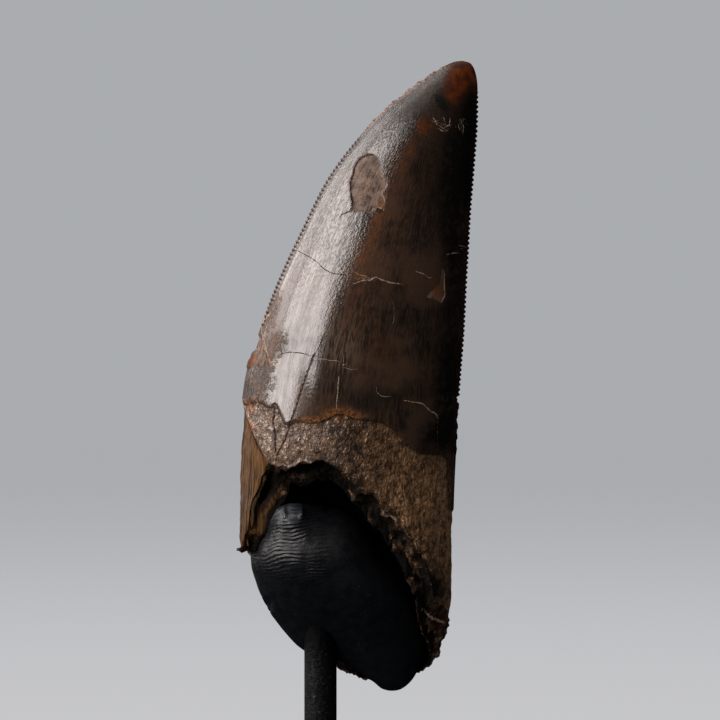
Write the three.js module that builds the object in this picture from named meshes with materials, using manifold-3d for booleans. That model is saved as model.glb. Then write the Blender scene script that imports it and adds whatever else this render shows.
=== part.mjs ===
// A tyrannosaur's fossil tooth on a display stand: the crown with its broken root, a moulded putty
// cradle that fills the hollow root, an upright steel rod and a plain round base.
// Millimetres, +Z up. The origin is the centre of the base's underside, on the rod's axis.
// +X points to the tooth's rear (distal) edge and -Y to the face that is shown.
import * as THREE from "three";
import { mergeVertices } from "three/addons/utils/BufferGeometryUtils.js";
import { ImprovedNoise } from "three/addons/math/ImprovedNoise.js";
import Module from "manifold-3d";

const wasm = await Module();
wasm.setup();
const noise = new ImprovedNoise();

// ---- Driving dimensions ----
const GAP = 0.3; // between pieces that touch
const BASE = { radius: 36, height: 12, chamfer: 1.2, holeFloor: 3, sides: 64 };
const ROD = { radius: 2.38, top: 71, chamfer: 0.4, sides: 32 };

// The tooth's outline seen from the shown face: its mesial (front) and distal (rear) edges as
// [x, z], in pairs from below the broken root up to the tip, where the edges meet.
const MESIAL_EDGE = [
  [-12.7, 52.9], [-12.5, 67.6], [-12.4, 79.4], [-12.1, 91.2], [-10.9, 101.0], [-7.9, 110.3],
  [-4.0, 119.4], [1.0, 129.6], [7.0, 137.4], [13.8, 143.3], [18.2, 146.3], [20.9, 147.1],
];
const DISTAL_EDGE = [
  [19.2, 52.9], [19.4, 67.6], [19.6, 80.9], [20.2, 93.4], [20.9, 104.4], [21.5, 114.0],
  [22.0, 122.8], [22.6, 130.9], [23.1, 137.1], [23.2, 142.3], [22.6, 145.7], [20.9, 147.1],
];

const CROWN = {
  middle: 0.6, // y of the root's middle plane
  lean: 1.4, // how far the tip leans towards the far face
  depthShare: 0.65, // half thickness over half width
  mesialBulk: 0.12, // how far the thickest line lies towards the mesial edge
  keel: 0.5, // how far the two cutting edges stand out of the oval section
  keelEnd: 0.19, // the share of the outline at which the keels end
  ledge: 0.4, // how far the bare dentine lies below the enamel
  grain: 0.2, // the dentine's roughness
};
const DENTICLES = { pitch: 0.72, height: 0.36, profile: [[0, 0], [0.25, 1], [0.65, 1]] };
// Where the denticles stand on each edge, as shares of its length from the root.
const DENTICLE_ROWS = { mesial: [0.52, 0.83], distal: [0.385, 0.955] };

// The spall, where a flake of enamel is gone: its outline as [x, z] and its depth.
const SPALL = {
  outline: [
    [8.0, 132.4], [6.7, 132.9], [5.4, 132.4], [4.5, 130.6], [4.2, 128.7], [4.6, 126.5],
    [3.0, 123.2], [6.1, 124.4], [7.7, 124.1], [9.1, 125.3], [9.6, 127.6], [8.9, 130.1],
  ],
  angle: 113,
  share: 0.63,
  depth: 0.45,
};

// Angles round the tooth: 0 is the distal edge, 90 the shown face, 180 the mesial edge.
// The lower border of the enamel: [angle, height].
const ENAMEL_BORDER = [
  [0, 87.5], [13, 86.8], [37, 89.1], [55, 89.5], [66, 92.5], [75, 94.0], [95, 95.3], [115, 94.0],
  [123, 93.3], [133, 96.5], [143, 96.8], [160, 99.5], [180, 100.0], [200, 98.0], [225, 94.5],
  [250, 93.0], [275, 94.0], [300, 92.0], [325, 89.5], [345, 88.0], [360, 87.5],
];
// The broken root: [angle, height of its outer edge, share of the radius at its inner edge,
// how far the inner edge lies below the outer one].
const BREAK = [
  [0, 64.4, 0.8, 4.6], [16, 66.4, 0.76, 4.4], [28, 68.8, 0.79, 3.2], [37, 71.3, 0.8, 2.4],
  [51, 76.4, 0.7, 2.6], [63, 80.3, 0.64, 2.8], [78, 83.5, 0.6, 2.8], [94, 86.6, 0.6, 2.8],
  [109, 88.1, 0.62, 2.9], [126, 87.0, 0.64, 2.6], [139, 87.4, 0.66, 3.0], [146, 83.8, 0.7, 2.2],
  [153, 81.2, 0.76, 1.6], [161, 75.9, 0.84, 0.6], [170, 74.1, 0.86, 0.0], [180, 74.6, 0.84, 0.0],
  [200, 74.6, 0.78, 0.0], [215, 71.6, 0.74, 0.0], [240, 64.4, 0.72, 0.0], [262, 57.2, 0.72, 0.0],
  [280, 54.9, 0.74, 0.0], [298, 55.0, 0.76, 0.0], [314, 55.8, 0.78, 0.4], [326, 57.0, 0.82, 0.8],
  [338, 60.0, 0.83, 2.6], [350, 62.6, 0.82, 4.0], [360, 64.4, 0.8, 4.6],
];
const CAVITY = { x: 3.4, top: 91.5 };

// The cradle's outline from the shown face as [x, z], and its bulge towards each face, which
// thins out along the slope that runs in under the tooth.
const CRADLE = {
  outline: [
    [-10.2, 74.6], [-9.7, 71.0], [-7.3, 65.6], [-2.4, 60.2], [3.0, 58.5], [7.4, 55.9],
    [9.4, 54.4], [12.0, 54.5], [14.3, 57.2], [15.2, 63.0], [13.0, 68.4], [9.1, 73.8],
    [4.4, 80.0], [-1.6, 81.9], [-6.5, 81.6], [-9.1, 77.9],
  ],
  crest: [1.6, 71.5],
  plane: 1.2, // y of the outline
  front: 10,
  back: 6.4,
  thin: { low: 56, high: 76, lean: 0.35, least: 0.12 },
};

// Resolution of the faceted solids.
const TOOTH_COLUMNS = 56;
const ROWS = { crown: 26, root: 10, break: 4, cavity: 6 };
const CRADLE_COLUMNS = 40;
const CRADLE_ROWS = 18;

// ---- Helpers ----
const { degToRad, euclideanModulo, lerp, smoothstep } = THREE.MathUtils;

// Reads a table of rows that start with an angle, for any column after it.
function readTable(table, angle, column = 1) {
  const turn = euclideanModulo(angle, 360);
  const next = table.findIndex((row) => row[0] > turn);
  const [low, high] = [table[next - 1], table[next]];
  return lerp(low[column], high[column], (turn - low[0]) / (high[0] - low[0]));
}

// Steps of a run from 0 to 1, closer together at its start when the power is over 1.
function steps(count, power = 1) {
  return Array.from({ length: count + 1 }, (_, i) => (i / count) ** power);
}

// Joins neighbouring columns of points into one closed skin. All columns start at one pole and
// end at the other, and each point has a key that says how far along its column it lies.
function skin(columns) {
  const vertices = [columns[0][0].point];
  const rows = columns.map((column) => column.slice(1, -1).map(({ key, point }) => {
    vertices.push(point);
    return { key, index: vertices.length - 1 };
  }));
  vertices.push(columns[0].at(-1).point);
  const first = { key: -1, index: 0 };
  const last = { key: 10, index: vertices.length - 1 };
  const faces = [];
  rows.forEach((row, column) => {
    const left = [first, ...row, last];
    const right = [first, ...rows[(column + 1) % rows.length], last];
    for (let i = 0, j = 0; i < left.length - 1 || j < right.length - 1;) {
      const downLeft = j === right.length - 1 || (i < left.length - 1 && left[i + 1].key <= right[j + 1].key);
      const face = downLeft
        ? [left[i], left[++i], right[j]]
        : [left[i], right[j + 1], right[j++]];
      const corners = face.map((corner) => corner.index);
      if (new Set(corners).size === 3) faces.push(...corners);
    }
  });
  const geometry = new THREE.BufferGeometry().setFromPoints(vertices);
  geometry.setIndex(faces);
  return geometry;
}

function toSolid(geometry) {
  const bare = new THREE.BufferGeometry();
  bare.setAttribute("position", geometry.getAttribute("position"));
  bare.setIndex(geometry.index);
  const merged = mergeVertices(bare, 1e-4);
  return new wasm.Manifold(new wasm.Mesh({
    numProp: 3,
    vertProperties: merged.getAttribute("position").array,
    triVerts: new Uint32Array(merged.index.array),
  }));
}

function toGeometry(solid) {
  const { vertProperties, triVerts } = solid.getMesh();
  const geometry = new THREE.BufferGeometry();
  geometry.setAttribute("position", new THREE.BufferAttribute(vertProperties, 3));
  geometry.setIndex(new THREE.BufferAttribute(triVerts, 1));
  geometry.computeVertexNormals();
  return geometry;
}

// ---- The tooth ----
function edgeCurve(points) {
  return new THREE.CatmullRomCurve3(points.map(([x, z]) => new THREE.Vector3(x, 0, z)));
}
const mesialEdge = edgeCurve(MESIAL_EDGE);
const distalEdge = edgeCurve(DISTAL_EDGE);

// A point of the surface at an angle and a share of the outline's height, sunk by some depth.
// The section is an oval that stands back from the outline by the height of the keels.
function surfacePoint(angle, share, sunk = 0) {
  const mesial = mesialEdge.getPoint(share);
  const distal = distalEdge.getPoint(share);
  const halfWidth = mesial.distanceTo(distal) / 2;
  const across = Math.cos(degToRad(angle));
  const towards = Math.sin(degToRad(angle));
  const onKeel = Math.abs(towards) < 1e-6;
  const keel = smoothstep(share, CROWN.keelEnd, CROWN.keelEnd + 0.03) * smoothstep(halfWidth, 0, 4);
  const inset = sunk + (onKeel ? 0 : CROWN.keel * keel);
  const size = Math.max(0, 1 - inset / Math.max(halfWidth, 1e-6));
  const depth = halfWidth * CROWN.depthShare * (1 - CROWN.mesialBulk * across);
  const point = mesial.lerp(distal, (1 + across * size) / 2);
  point.y = CROWN.middle + CROWN.lean * share ** 3 - depth * towards * size;
  return point;
}

// Bare dentine lies a ledge below the enamel and is rough.
function dentinePoint(angle, share) {
  const { x, y, z } = surfacePoint(angle, share).multiplyScalar(0.9);
  return surfacePoint(angle, share, CROWN.ledge + CROWN.grain * noise.noise(x, y, z));
}

// The share at which a column of the surface reaches a height.
function shareAtHeight(angle, height) {
  let [low, high] = [0, 0.6];
  for (let i = 0; i < 24; i++) {
    const middle = (low + high) / 2;
    if (surfacePoint(angle, middle).z < height) low = middle;
    else high = middle;
  }
  return (low + high) / 2;
}

// The crest of a cutting edge, from the tip down: a point at each corner of its denticles.
function denticlePoints(edge, [from, to], outward) {
  const length = edge.getLength();
  const count = Math.round(((to - from) * length) / DENTICLES.pitch);
  const points = [];
  for (let i = 0; i < count; i++) {
    for (const [along, rise] of DENTICLES.profile) {
      const u = lerp(to, from, (i + along) / count);
      const tangent = edge.getTangentAt(u);
      const out = new THREE.Vector3(tangent.z, 0, -tangent.x).multiplyScalar(outward * rise * DENTICLES.height);
      const share = edge.getUtoTmapping(u);
      const crest = surfacePoint(outward < 0 ? 180 : 0, share).add(out);
      points.push({ share, point: crest });
    }
  }
  return points;
}

// The crown's rows of one column, which are close together at the tip. On the two cutting edges
// the denticles take the place of the rows that they span.
function crownRows(angle, borderShare) {
  const rows = steps(ROWS.crown, 1.35).map((down) => {
    const share = lerp(1, borderShare, down);
    return { share, point: surfacePoint(angle, share) };
  });
  const edges = new Map([
    [180, denticlePoints(mesialEdge, DENTICLE_ROWS.mesial, -1)],
    [0, denticlePoints(distalEdge, DENTICLE_ROWS.distal, 1)],
  ]);
  const denticles = edges.get(angle) ?? [];
  const isFree = ({ share }) => !denticles.length || share > denticles[0].share || share < denticles.at(-1).share;
  return [...rows.filter(isFree), ...denticles].sort((a, b) => b.share - a.share);
}

// One column of the tooth, from the tip down the outside, over the broken edge and up to the
// top of the pulp cavity.
function toothColumn(angle) {
  const borderShare = shareAtHeight(angle, readTable(ENAMEL_BORDER, angle));
  const breakShare = shareAtHeight(angle, readTable(BREAK, angle));
  const crown = crownRows(angle, borderShare)
    .map(({ share, point }) => ({ key: (1 - share) / (1 - borderShare), point }));
  const root = steps(ROWS.root).map((down) => {
    return { key: 1.001 + down, point: dentinePoint(angle, lerp(borderShare - 0.004, breakShare, down)) };
  });

  const outer = root.at(-1).point;
  const inner = surfacePoint(angle, breakShare, 1e6).lerp(outer, readTable(BREAK, angle, 2));
  inner.z = outer.z - readTable(BREAK, angle, 3);
  const broken = steps(ROWS.break).slice(1).map((across) => {
    const point = outer.clone().lerp(inner, across);
    const rough = noise.noise(point.x * 0.6, point.y * 0.6 + 7, point.z * 0.6) * Math.sin(Math.PI * across);
    point.z += 0.5 * Math.sin(Math.PI * across) + 0.9 * rough;
    return { key: 2.001 + across, point };
  });

  const top = new THREE.Vector3(CAVITY.x, CROWN.middle, CAVITY.top);
  const cavity = steps(ROWS.cavity).slice(1).map((up) => {
    const turn = (up * Math.PI) / 2;
    const point = top.clone().lerp(inner, Math.cos(turn));
    point.z = lerp(inner.z, top.z, Math.sin(turn));
    return { key: 3.001 + up, point };
  });
  return [...crown, ...root, ...broken, ...cavity];
}

// A block whose flat floor lies under the surface and whose sides follow the spall's outline.
function spallCutter() {
  const { outline, angle, share, depth } = SPALL;
  const middle = surfacePoint(angle, share);
  const across = surfacePoint(angle - 3, share).sub(surfacePoint(angle + 3, share));
  const up = surfacePoint(angle, share + 0.02).sub(surfacePoint(angle, share - 0.02));
  const normal = across.cross(up).normalize();
  const flake = new THREE.Shape(outline.map(([x, z]) => new THREE.Vector2(x - middle.x, z - middle.z)));
  const placed = new THREE.Object3D();
  placed.up.set(0, 0, 1);
  placed.position.copy(middle).addScaledVector(normal, -depth);
  placed.lookAt(placed.position.clone().add(normal));
  placed.updateMatrix();
  return new THREE.ExtrudeGeometry(flake, { depth: 4, bevelEnabled: false }).applyMatrix4(placed.matrix);
}

function toothSolid() {
  const columns = steps(TOOTH_COLUMNS).slice(0, -1).map((turn) => toothColumn(180 - 360 * turn));
  return toSolid(skin(columns))
    .subtract(toSolid(spallCutter()))
    .subtract(toSolid(cradleBody(GAP)));
}

// ---- The cradle ----
// An inflated outline, made from its front pole to its back pole.
function cradleBody(grow = 0) {
  const { outline, crest, plane, front, back, thin } = CRADLE;
  const rim = new THREE.CatmullRomCurve3(outline.map(([x, z]) => new THREE.Vector3(x, plane, z)), true);
  const centre = new THREE.Vector3(crest[0], plane, crest[1]);
  const columns = steps(CRADLE_COLUMNS).slice(0, -1).map((turn) => {
    const edge = rim.getPointAt(turn).sub(centre);
    edge.setLength(edge.length() + grow);
    return steps(CRADLE_ROWS).map((drop) => {
      const size = Math.sin(Math.PI * drop);
      const rise = Math.max(0, 1 - size ** 2.8) ** 0.65;
      const point = centre.clone().addScaledVector(edge, size);
      const filled = smoothstep(point.z + thin.lean * point.x, thin.low, thin.high);
      point.y += drop < 0.5
        ? -(front * lerp(thin.least, 1, filled) + grow) * rise
        : (back + grow) * rise;
      return { key: drop, point };
    });
  });
  return skin(columns);
}

function cradleSolid() {
  const bottom = CRADLE.outline[6][1] - 5;
  const socket = new THREE.CylinderGeometry(ROD.radius + GAP, ROD.radius + GAP, ROD.top + GAP - bottom, ROD.sides)
    .rotateX(Math.PI / 2)
    .translate(0, 0, (ROD.top + GAP + bottom) / 2);
  return toSolid(cradleBody()).subtract(toSolid(socket));
}

// ---- The stand ----
// A profile of [radius, height] pairs, turned about the Z axis.
function turned(profile, sides) {
  return new THREE.LatheGeometry(profile.map(([r, z]) => new THREE.Vector2(r, z)), sides)
    .rotateX(Math.PI / 2);
}

function rodGeometry() {
  const { radius, top, chamfer, sides } = ROD;
  const bottom = BASE.holeFloor + GAP;
  return turned([
    [0, bottom], [radius - chamfer, bottom], [radius, bottom + chamfer],
    [radius, top - chamfer], [radius - chamfer, top], [0, top],
  ], sides);
}

function baseGeometry() {
  const { radius, height, chamfer, holeFloor, sides } = BASE;
  const hole = ROD.radius + GAP;
  return turned([
    [0, 0], [radius - chamfer, 0], [radius, chamfer], [radius, height - chamfer],
    [radius - chamfer, height], [hole, height], [hole, holeFloor], [0, holeFloor],
  ], sides);
}

// ---- The assembly ----
const fossil = new THREE.MeshStandardMaterial({ color: "#3a2519", roughness: 0.35, metalness: 0 });
const putty = new THREE.MeshStandardMaterial({ color: "#121314", roughness: 0.5, metalness: 0 });
const blackPaint = new THREE.MeshStandardMaterial({ color: "#17181a", roughness: 0.55, metalness: 0.2 });

function piece(name, geometry, material) {
  const mesh = new THREE.Mesh(geometry, material);
  mesh.name = name;
  return mesh;
}

const stand = new THREE.Group();
stand.add(
  piece("tooth", toGeometry(toothSolid()), fossil),
  piece("cradle", toGeometry(cradleSolid()), putty),
  piece("rod", rodGeometry(), blackPaint),
  piece("base", baseGeometry(), blackPaint),
);

export default stand;
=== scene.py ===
# %% [markdown]
# # A tyrannosaur's fossil tooth on its stand
# The object is a dark, glossy fossil tooth. Black putty fills its broken, hollow root, and a thin
# black rod carries the putty on a plain round base. Each piece is moulded from a simple starting
# shape, much as clay would be, and then gets a finish made only of nodes.

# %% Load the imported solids
import math

import bmesh
import bpy
import numpy as np
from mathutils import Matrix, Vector, noise


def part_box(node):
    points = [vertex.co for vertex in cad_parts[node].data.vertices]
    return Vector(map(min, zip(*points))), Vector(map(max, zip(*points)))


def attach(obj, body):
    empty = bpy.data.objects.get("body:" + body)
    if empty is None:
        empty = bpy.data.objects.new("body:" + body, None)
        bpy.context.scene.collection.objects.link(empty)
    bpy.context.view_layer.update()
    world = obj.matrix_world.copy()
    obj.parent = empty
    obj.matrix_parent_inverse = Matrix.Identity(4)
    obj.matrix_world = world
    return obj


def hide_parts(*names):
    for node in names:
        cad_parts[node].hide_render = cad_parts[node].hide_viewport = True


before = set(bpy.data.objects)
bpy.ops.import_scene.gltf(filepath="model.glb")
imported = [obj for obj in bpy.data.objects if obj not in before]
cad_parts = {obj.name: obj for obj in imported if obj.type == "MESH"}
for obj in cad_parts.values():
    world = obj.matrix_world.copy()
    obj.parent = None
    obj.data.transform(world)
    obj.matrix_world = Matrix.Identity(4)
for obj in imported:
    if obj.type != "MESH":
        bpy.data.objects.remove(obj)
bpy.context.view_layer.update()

MM = 0.001

# %% [markdown]
# ## Moulding a closed skin from a sheet
# The tooth and the putty are closed, rounded things with no straight edges. A box could be bent
# into them with a subdivision modifier, but a rolled sheet is simpler: a fine grid is rolled into
# a ball, and its seam and its two ends are welded. Its columns then run from one pole to the
# other. Each vertex has a turn round the axis and a drop from the first pole, and moulding means
# giving each pair of turn and drop a new place. All moulding is in millimetres, and the last step
# shrinks the mesh to metres.

# %% A ball of clay
def ball(columns, rows):
    """A fine ball to mould, rolled from a flat sheet and welded."""
    clay = bmesh.new()
    bmesh.ops.create_grid(clay, x_segments=columns, y_segments=rows, size=1)
    rim = [vertex for vertex in clay.verts if vertex.is_boundary]
    for vertex in clay.verts:
        turn, drop = (vertex.co.x + 1) * math.pi, (vertex.co.y + 1) * math.pi / 2
        vertex.co = math.sin(drop) * math.cos(turn), math.sin(drop) * math.sin(turn), math.cos(drop)
    bmesh.ops.remove_doubles(clay, verts=rim, dist=1e-4)
    return clay


def places(clay):
    """The places of all vertices as an array."""
    return np.array([vertex.co for vertex in clay.verts])


def turn_and_drop(clay):
    """Each vertex's turn round the ball and its drop from the first pole, both from 0 to 1."""
    x, y, z = places(clay).T
    return (np.arctan2(y, x) / math.tau) % 1, np.arctan2(np.hypot(x, y), z) / math.pi

# %% Moving its vertices
def mould(clay, points):
    """Moves every vertex to its new place."""
    for vertex, point in zip(clay.verts, points):
        vertex.co = point
    clay.normal_update()


def press(clay, heights):
    """Moves every vertex along its normal by its own height."""
    for vertex, height in zip(clay.verts, heights):
        vertex.co += vertex.normal * height
    clay.normal_update()

# %% Ramps and soft spots
def ease(value, low, high):
    """0 below low, 1 above high, and a smooth ramp between."""
    t = np.clip((value - low) / (high - low), 0, 1)
    return t * t * (3 - 2 * t)


def mix(a, b, share):
    """a where the share is 0, b where it is 1."""
    return a + (b - a) * share


def spot(x, z, x0, z0, wide, tall):
    """A soft oval, 1 in its middle and fading over its half-width and half-height."""
    return np.exp(-(((x - x0) / wide) ** 2) - ((z - z0) / tall) ** 2)

# %% Curves and noise
def along_curve(points, share, closed=False):
    """Places on a smooth curve through the points, at shares of its run from 0 to 1."""
    points = np.asarray(points, float)
    spans = len(points) if closed else len(points) - 1
    run = np.clip(share, 0, 1) * spans
    first = np.minimum(run.astype(int), spans - 1)
    t = (run - first)[:, None]
    if closed:
        padded = np.vstack([points[-1:], points, points[:2]])
    else:
        before, after = 2 * points[:1] - points[1:2], 2 * points[-1:] - points[-2:-1]
        padded = np.vstack([before, points, after])
    a, b, c, d = (padded[first + k] for k in range(4))
    return 0.5 * (2 * b + (c - a) * t + (2 * a - 5 * b + 4 * c - d) * t**2 + (3 * b - a - 3 * c + d) * t**3)


def rough(points, scale, seed=0):
    """Smooth noise from -1 to 1 at each point; scale is in bumps per millimetre."""
    shift = Vector((seed * 17.3, seed * 5.1, seed * 9.7))
    return np.array([noise.noise(Vector(point) * scale + shift) for point in points])

# %% From clay to an object
def to_object(clay, name, numbers=None):
    """Shrinks the moulded clay to metres and makes it an object, with numbers kept per vertex."""
    bmesh.ops.scale(clay, vec=(MM, MM, MM), verts=clay.verts)
    mesh = bpy.data.meshes.new(name)
    clay.to_mesh(mesh)
    clay.free()
    for key, values in (numbers or {}).items():
        kind = "FLOAT_VECTOR" if values.ndim == 2 else "FLOAT"
        field = "vector" if values.ndim == 2 else "value"
        mesh.attributes.new(key, kind, "POINT").data.foreach_set(field, values.astype(np.float32).ravel())
    mesh.shade_smooth()
    made = bpy.data.objects.new(name, mesh)
    bpy.context.scene.collection.objects.link(made)
    print(f"{name}: {len(mesh.polygons)} faces, {tuple(round(v / MM, 1) for v in made.dimensions)} mm")
    return made

# %% [markdown]
# ## The tooth's outline
# A tyrannosaur's tooth is bounded by two cutting edges: the mesial one in front and the distal
# one behind. Everything between them is a fat oval section. So the form is a loft between two
# curves, which meet at the tip, and the two curves alone give the outline its character: a long
# nearly straight rear edge and a front edge that bends over at the top.

# %% Outline and section
MESIAL_EDGE = [  # x and z in millimetres, from the foot to the tip
    (-12.7, 52.9), (-12.5, 67.6), (-12.4, 79.4), (-12.1, 91.2), (-10.9, 101.0), (-7.9, 110.3),
    (-4.0, 119.4), (1.0, 129.6), (7.0, 137.4), (13.8, 143.3), (17.7, 145.9), (19.5, 146.85), (20.9, 147.1),
]
DISTAL_EDGE = [
    (19.2, 52.9), (19.4, 67.6), (19.6, 80.9), (20.2, 93.4), (20.9, 104.4), (21.5, 114.0),
    (22.0, 122.8), (22.6, 130.9), (23.1, 137.1), (23.2, 142.3), (22.95, 144.9), (22.2, 146.6), (20.9, 147.1),
]
MIDDLE, LEAN = 0.6, 1.4  # y of the root's middle, and how far the tip leans away
DEPTH_SHARE, MESIAL_BULK = 0.65, 0.12  # depth for its width, and how much fatter the front half is
HIGHEST_BREAK, HALVINGS = 0.6, 22  # the break lies below this share; a search halves the span
KEEL, KEEL_WIDTH, KEEL_END = 0.5, 0.6, 0.175  # height, half-width, and the share where it starts


def tooth_surface(angle, share, size=1.0):
    """Places on the tooth. Angle 0 is the distal edge, a quarter turn the shown face."""
    mesial, distal = along_curve(MESIAL_EDGE, share), along_curve(DISTAL_EDGE, share)
    half = np.linalg.norm(distal - mesial, axis=1) / 2
    across, towards = np.cos(angle), np.sin(angle)
    keel = KEEL * ease(share, KEEL_END, KEEL_END + 0.03) * ease(half, 0, 4)
    body = size * (1 - keel / np.maximum(half, 1e-6))
    depth = half * DEPTH_SHARE * (1 - MESIAL_BULK * across) * towards * body
    crest = keel * np.exp(-((depth / KEEL_WIDTH) ** 2)) * np.sign(across) * (size > 0.99)
    lean = MIDDLE + LEAN * share**3 - depth
    reach = across * body + crest / np.maximum(half, 1e-6)
    x, z = ((mesial + distal) / 2 + (distal - mesial) / 2 * reach[:, None]).T
    return np.column_stack([x, lean, z])

# %% From a height to a share
def share_at_height(angle, height):
    """The share of the outline at which the surface passes a height, for one turn of angles."""
    low, high = np.zeros_like(angle), np.full_like(angle, HIGHEST_BREAK)
    for _ in range(HALVINGS):
        middle = (low + high) / 2
        below = tooth_surface(angle, middle)[:, 2] < height
        low, high = np.where(below, middle, low), np.where(below, high, middle)
    return (low + high) / 2

# %% [markdown]
# ## The broken root
# The root broke off unevenly: high on the shown face, low on the far one. A table gives the
# height of the break for each angle round the tooth, and how wide the broken wall is there.
# Below it the skin turns over the broken edge and runs up into the hollow pulp cavity.

# %% The break, angle by angle
BREAK = np.array([  # angle, height of the outer edge, radius share of the inner edge, its drop
    (0, 64.4, 0.80, 4.6), (17, 66.6, 0.76, 4.4), (33, 67.8, 0.79, 3.0), (38, 71.3, 0.80, 2.4),
    (44, 74.4, 0.74, 2.6), (51, 76.8, 0.70, 2.6), (57, 78.7, 0.67, 2.6), (63, 80.7, 0.64, 2.8),
    (71, 82.1, 0.62, 2.8), (77, 83.5, 0.60, 2.8), (86, 84.7, 0.60, 2.6), (94, 86.6, 0.60, 2.8),
    (103, 87.9, 0.62, 2.9), (115, 87.9, 0.63, 2.8), (126, 86.9, 0.64, 2.6), (137.5, 87.8, 0.66, 3.2),
    (141, 86.3, 0.67, 3.0), (144, 84.3, 0.68, 2.4), (150, 81.8, 0.72, 1.8), (152, 78.2, 0.78, 1.2),
    (157, 77.0, 0.82, 0.8), (160, 75.3, 0.84, 0.6), (165, 74.6, 0.86, 0.2), (180, 74.7, 0.84, 0.0),
    (200, 74.6, 0.78, 0.0), (215, 71.6, 0.74, 0.0), (240, 64.4, 0.72, 0.0), (262, 57.2, 0.72, 0.0),
    (280, 54.9, 0.74, 0.0), (298, 55.0, 0.76, 0.0), (314, 55.8, 0.78, 0.4), (326, 57.0, 0.82, 0.8),
    (338, 60.0, 0.83, 2.6), (350, 62.6, 0.82, 4.0), (360, 64.4, 0.80, 4.6),
])
CAVITY_TOP = (3.4, MIDDLE, 91.5)


def break_at(angle, column):
    """One column of the break's table, at any angle."""
    return np.interp(np.degrees(angle) % 360, BREAK[:, 0], BREAK[:, column])


round_the_tooth = np.radians(np.arange(0, 360.1, 0.5))
ring = np.column_stack([np.cos(round_the_tooth), np.sin(round_the_tooth), 0 * round_the_tooth]) * 14
frayed = break_at(round_the_tooth, 1) + 0.35 * rough(ring, 0.9, 3) + 0.22 * rough(ring, 2.6, 4)
frayed[-1] = frayed[0]
frayed_share = share_at_height(round_the_tooth, frayed)
print("the break runs from", frayed.min().round(1), "to", frayed.max().round(1), "mm up")

# %% [markdown]
# ## The tooth's clay
# The ball's first pole becomes the tip and its last pole the top of the cavity. The shown face
# gets more than half of the columns, because it carries the damage. On the keels the columns are
# cut finer along their length, so that there are enough points for the denticles.

# %% Roll the clay and cut the keels finer
COLUMNS = {"shown": 134, "far": 98}
ROWS = {"outside": 296, "broken": 30, "cavity": 26}
ALL_COLUMNS, ALL_ROWS = sum(COLUMNS.values()), sum(ROWS.values())
COLUMN_CROWDING = 0.08  # how far the columns are drawn towards the keels
FINE_COLUMNS, FINE_FROM, FINE_TO = 5.5, 4, 0.8 * ROWS["outside"]  # the part of a keel that is cut finer


def column_angle(turn):
    """The angle of a column, crowded a little towards the keels."""
    column = turn * ALL_COLUMNS
    shown, far = COLUMNS["shown"], COLUMNS["far"]
    angle = np.where(column <= shown, column / shown, 1 + (column - shown) / far) * math.pi
    return angle - COLUMN_CROWDING * np.sin(2 * angle)


def on_a_keel(edge):
    """Whether an edge of the ball runs down one of the two keels, where there are denticles."""
    turns, drops = [], []
    for vertex in edge.verts:
        turns.append(math.atan2(vertex.co.y, vertex.co.x) / math.tau % 1 * ALL_COLUMNS)
        drops.append(math.atan2(math.hypot(vertex.co.x, vertex.co.y), vertex.co.z) / math.pi * ALL_ROWS)
    down = abs(drops[0] - drops[1]) > 0.5 and abs(turns[0] - turns[1]) < 0.01
    off = min(abs(turns[0] - keel) for keel in (0, COLUMNS["shown"], ALL_COLUMNS))
    return down and off < FINE_COLUMNS and FINE_FROM < drops[0] < FINE_TO


tooth_clay = ball(ALL_COLUMNS, ALL_ROWS)
fine = [edge for edge in tooth_clay.edges if on_a_keel(edge)]
bmesh.ops.subdivide_edges(tooth_clay, edges=fine, cuts=2)
turn, drop = turn_and_drop(tooth_clay)
angle = column_angle(turn) % math.tau
row = drop * ALL_ROWS
outside = row <= ROWS["outside"] + 1e-3
shown = np.sin(angle) > 1e-6
print("tooth vertices:", len(angle), "of them outside:", int(outside.sum()))

# %% Mould the skin from the tip to the cavity
CROWDING = 1.12  # the rows lie a little closer together towards the tip
break_share = np.interp(angle, round_the_tooth, frayed_share)
share = mix(1.0, break_share, np.clip(row / ROWS["outside"], 0, 1) ** CROWDING)
skin = tooth_surface(angle, share)

outer = tooth_surface(angle, break_share)
inner = mix(tooth_surface(angle, break_share, 1e-6), outer, break_at(angle, 2)[:, None])
inner[:, 2] = outer[:, 2] - break_at(angle, 3)
over = np.clip((row - ROWS["outside"]) / ROWS["broken"], 0, 1)
band = mix(outer, inner, over[:, None])
up = np.clip((row - ROWS["outside"] - ROWS["broken"]) / ROWS["cavity"], 0, 1) * math.pi / 2
cavity = mix(np.array(CAVITY_TOP), inner, np.cos(up)[:, None])
cavity[:, 2] = mix(inner[:, 2], CAVITY_TOP[2], np.sin(up))
skin = np.where(outside[:, None], skin, np.where(up[:, None] > 0, cavity, band))
mould(tooth_clay, skin)
print("the skin reaches from", skin[:, 2].min().round(1), "to", skin[:, 2].max().round(1), "mm up")

# %% [markdown]
# ## Denticles
# The keels carry a row of small chisel-shaped denticles, like a saw blade, about seven to 5 mm.
# Little grooves between them run a short way onto the face. They could be separate teeth, but
# they grow out of the keel, so the keel itself is notched by its length along the edge. Near the
# tip the front keel has worn down to a crumbly crust, and lower down a piece has chipped away.

# %% Where the denticles are
DENTICLE_PITCH, DENTICLE_HEIGHT, DENTICLE_REACH = {"mesial": 0.66, "distal": 0.72}, 0.27, 0.6
DENTICLES_FROM_TO = {"mesial": (107.5, 137.0), "distal": (88.8, 143.2)}
NICKS = [  # keel, height, half-length, depth
    ("mesial", 105.4, 1.1, 0.42), ("mesial", 102.4, 0.6, -0.2),
    ("distal", 97.2, 0.35, 0.3), ("distal", 94.3, 0.5, 0.2),
]


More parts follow.
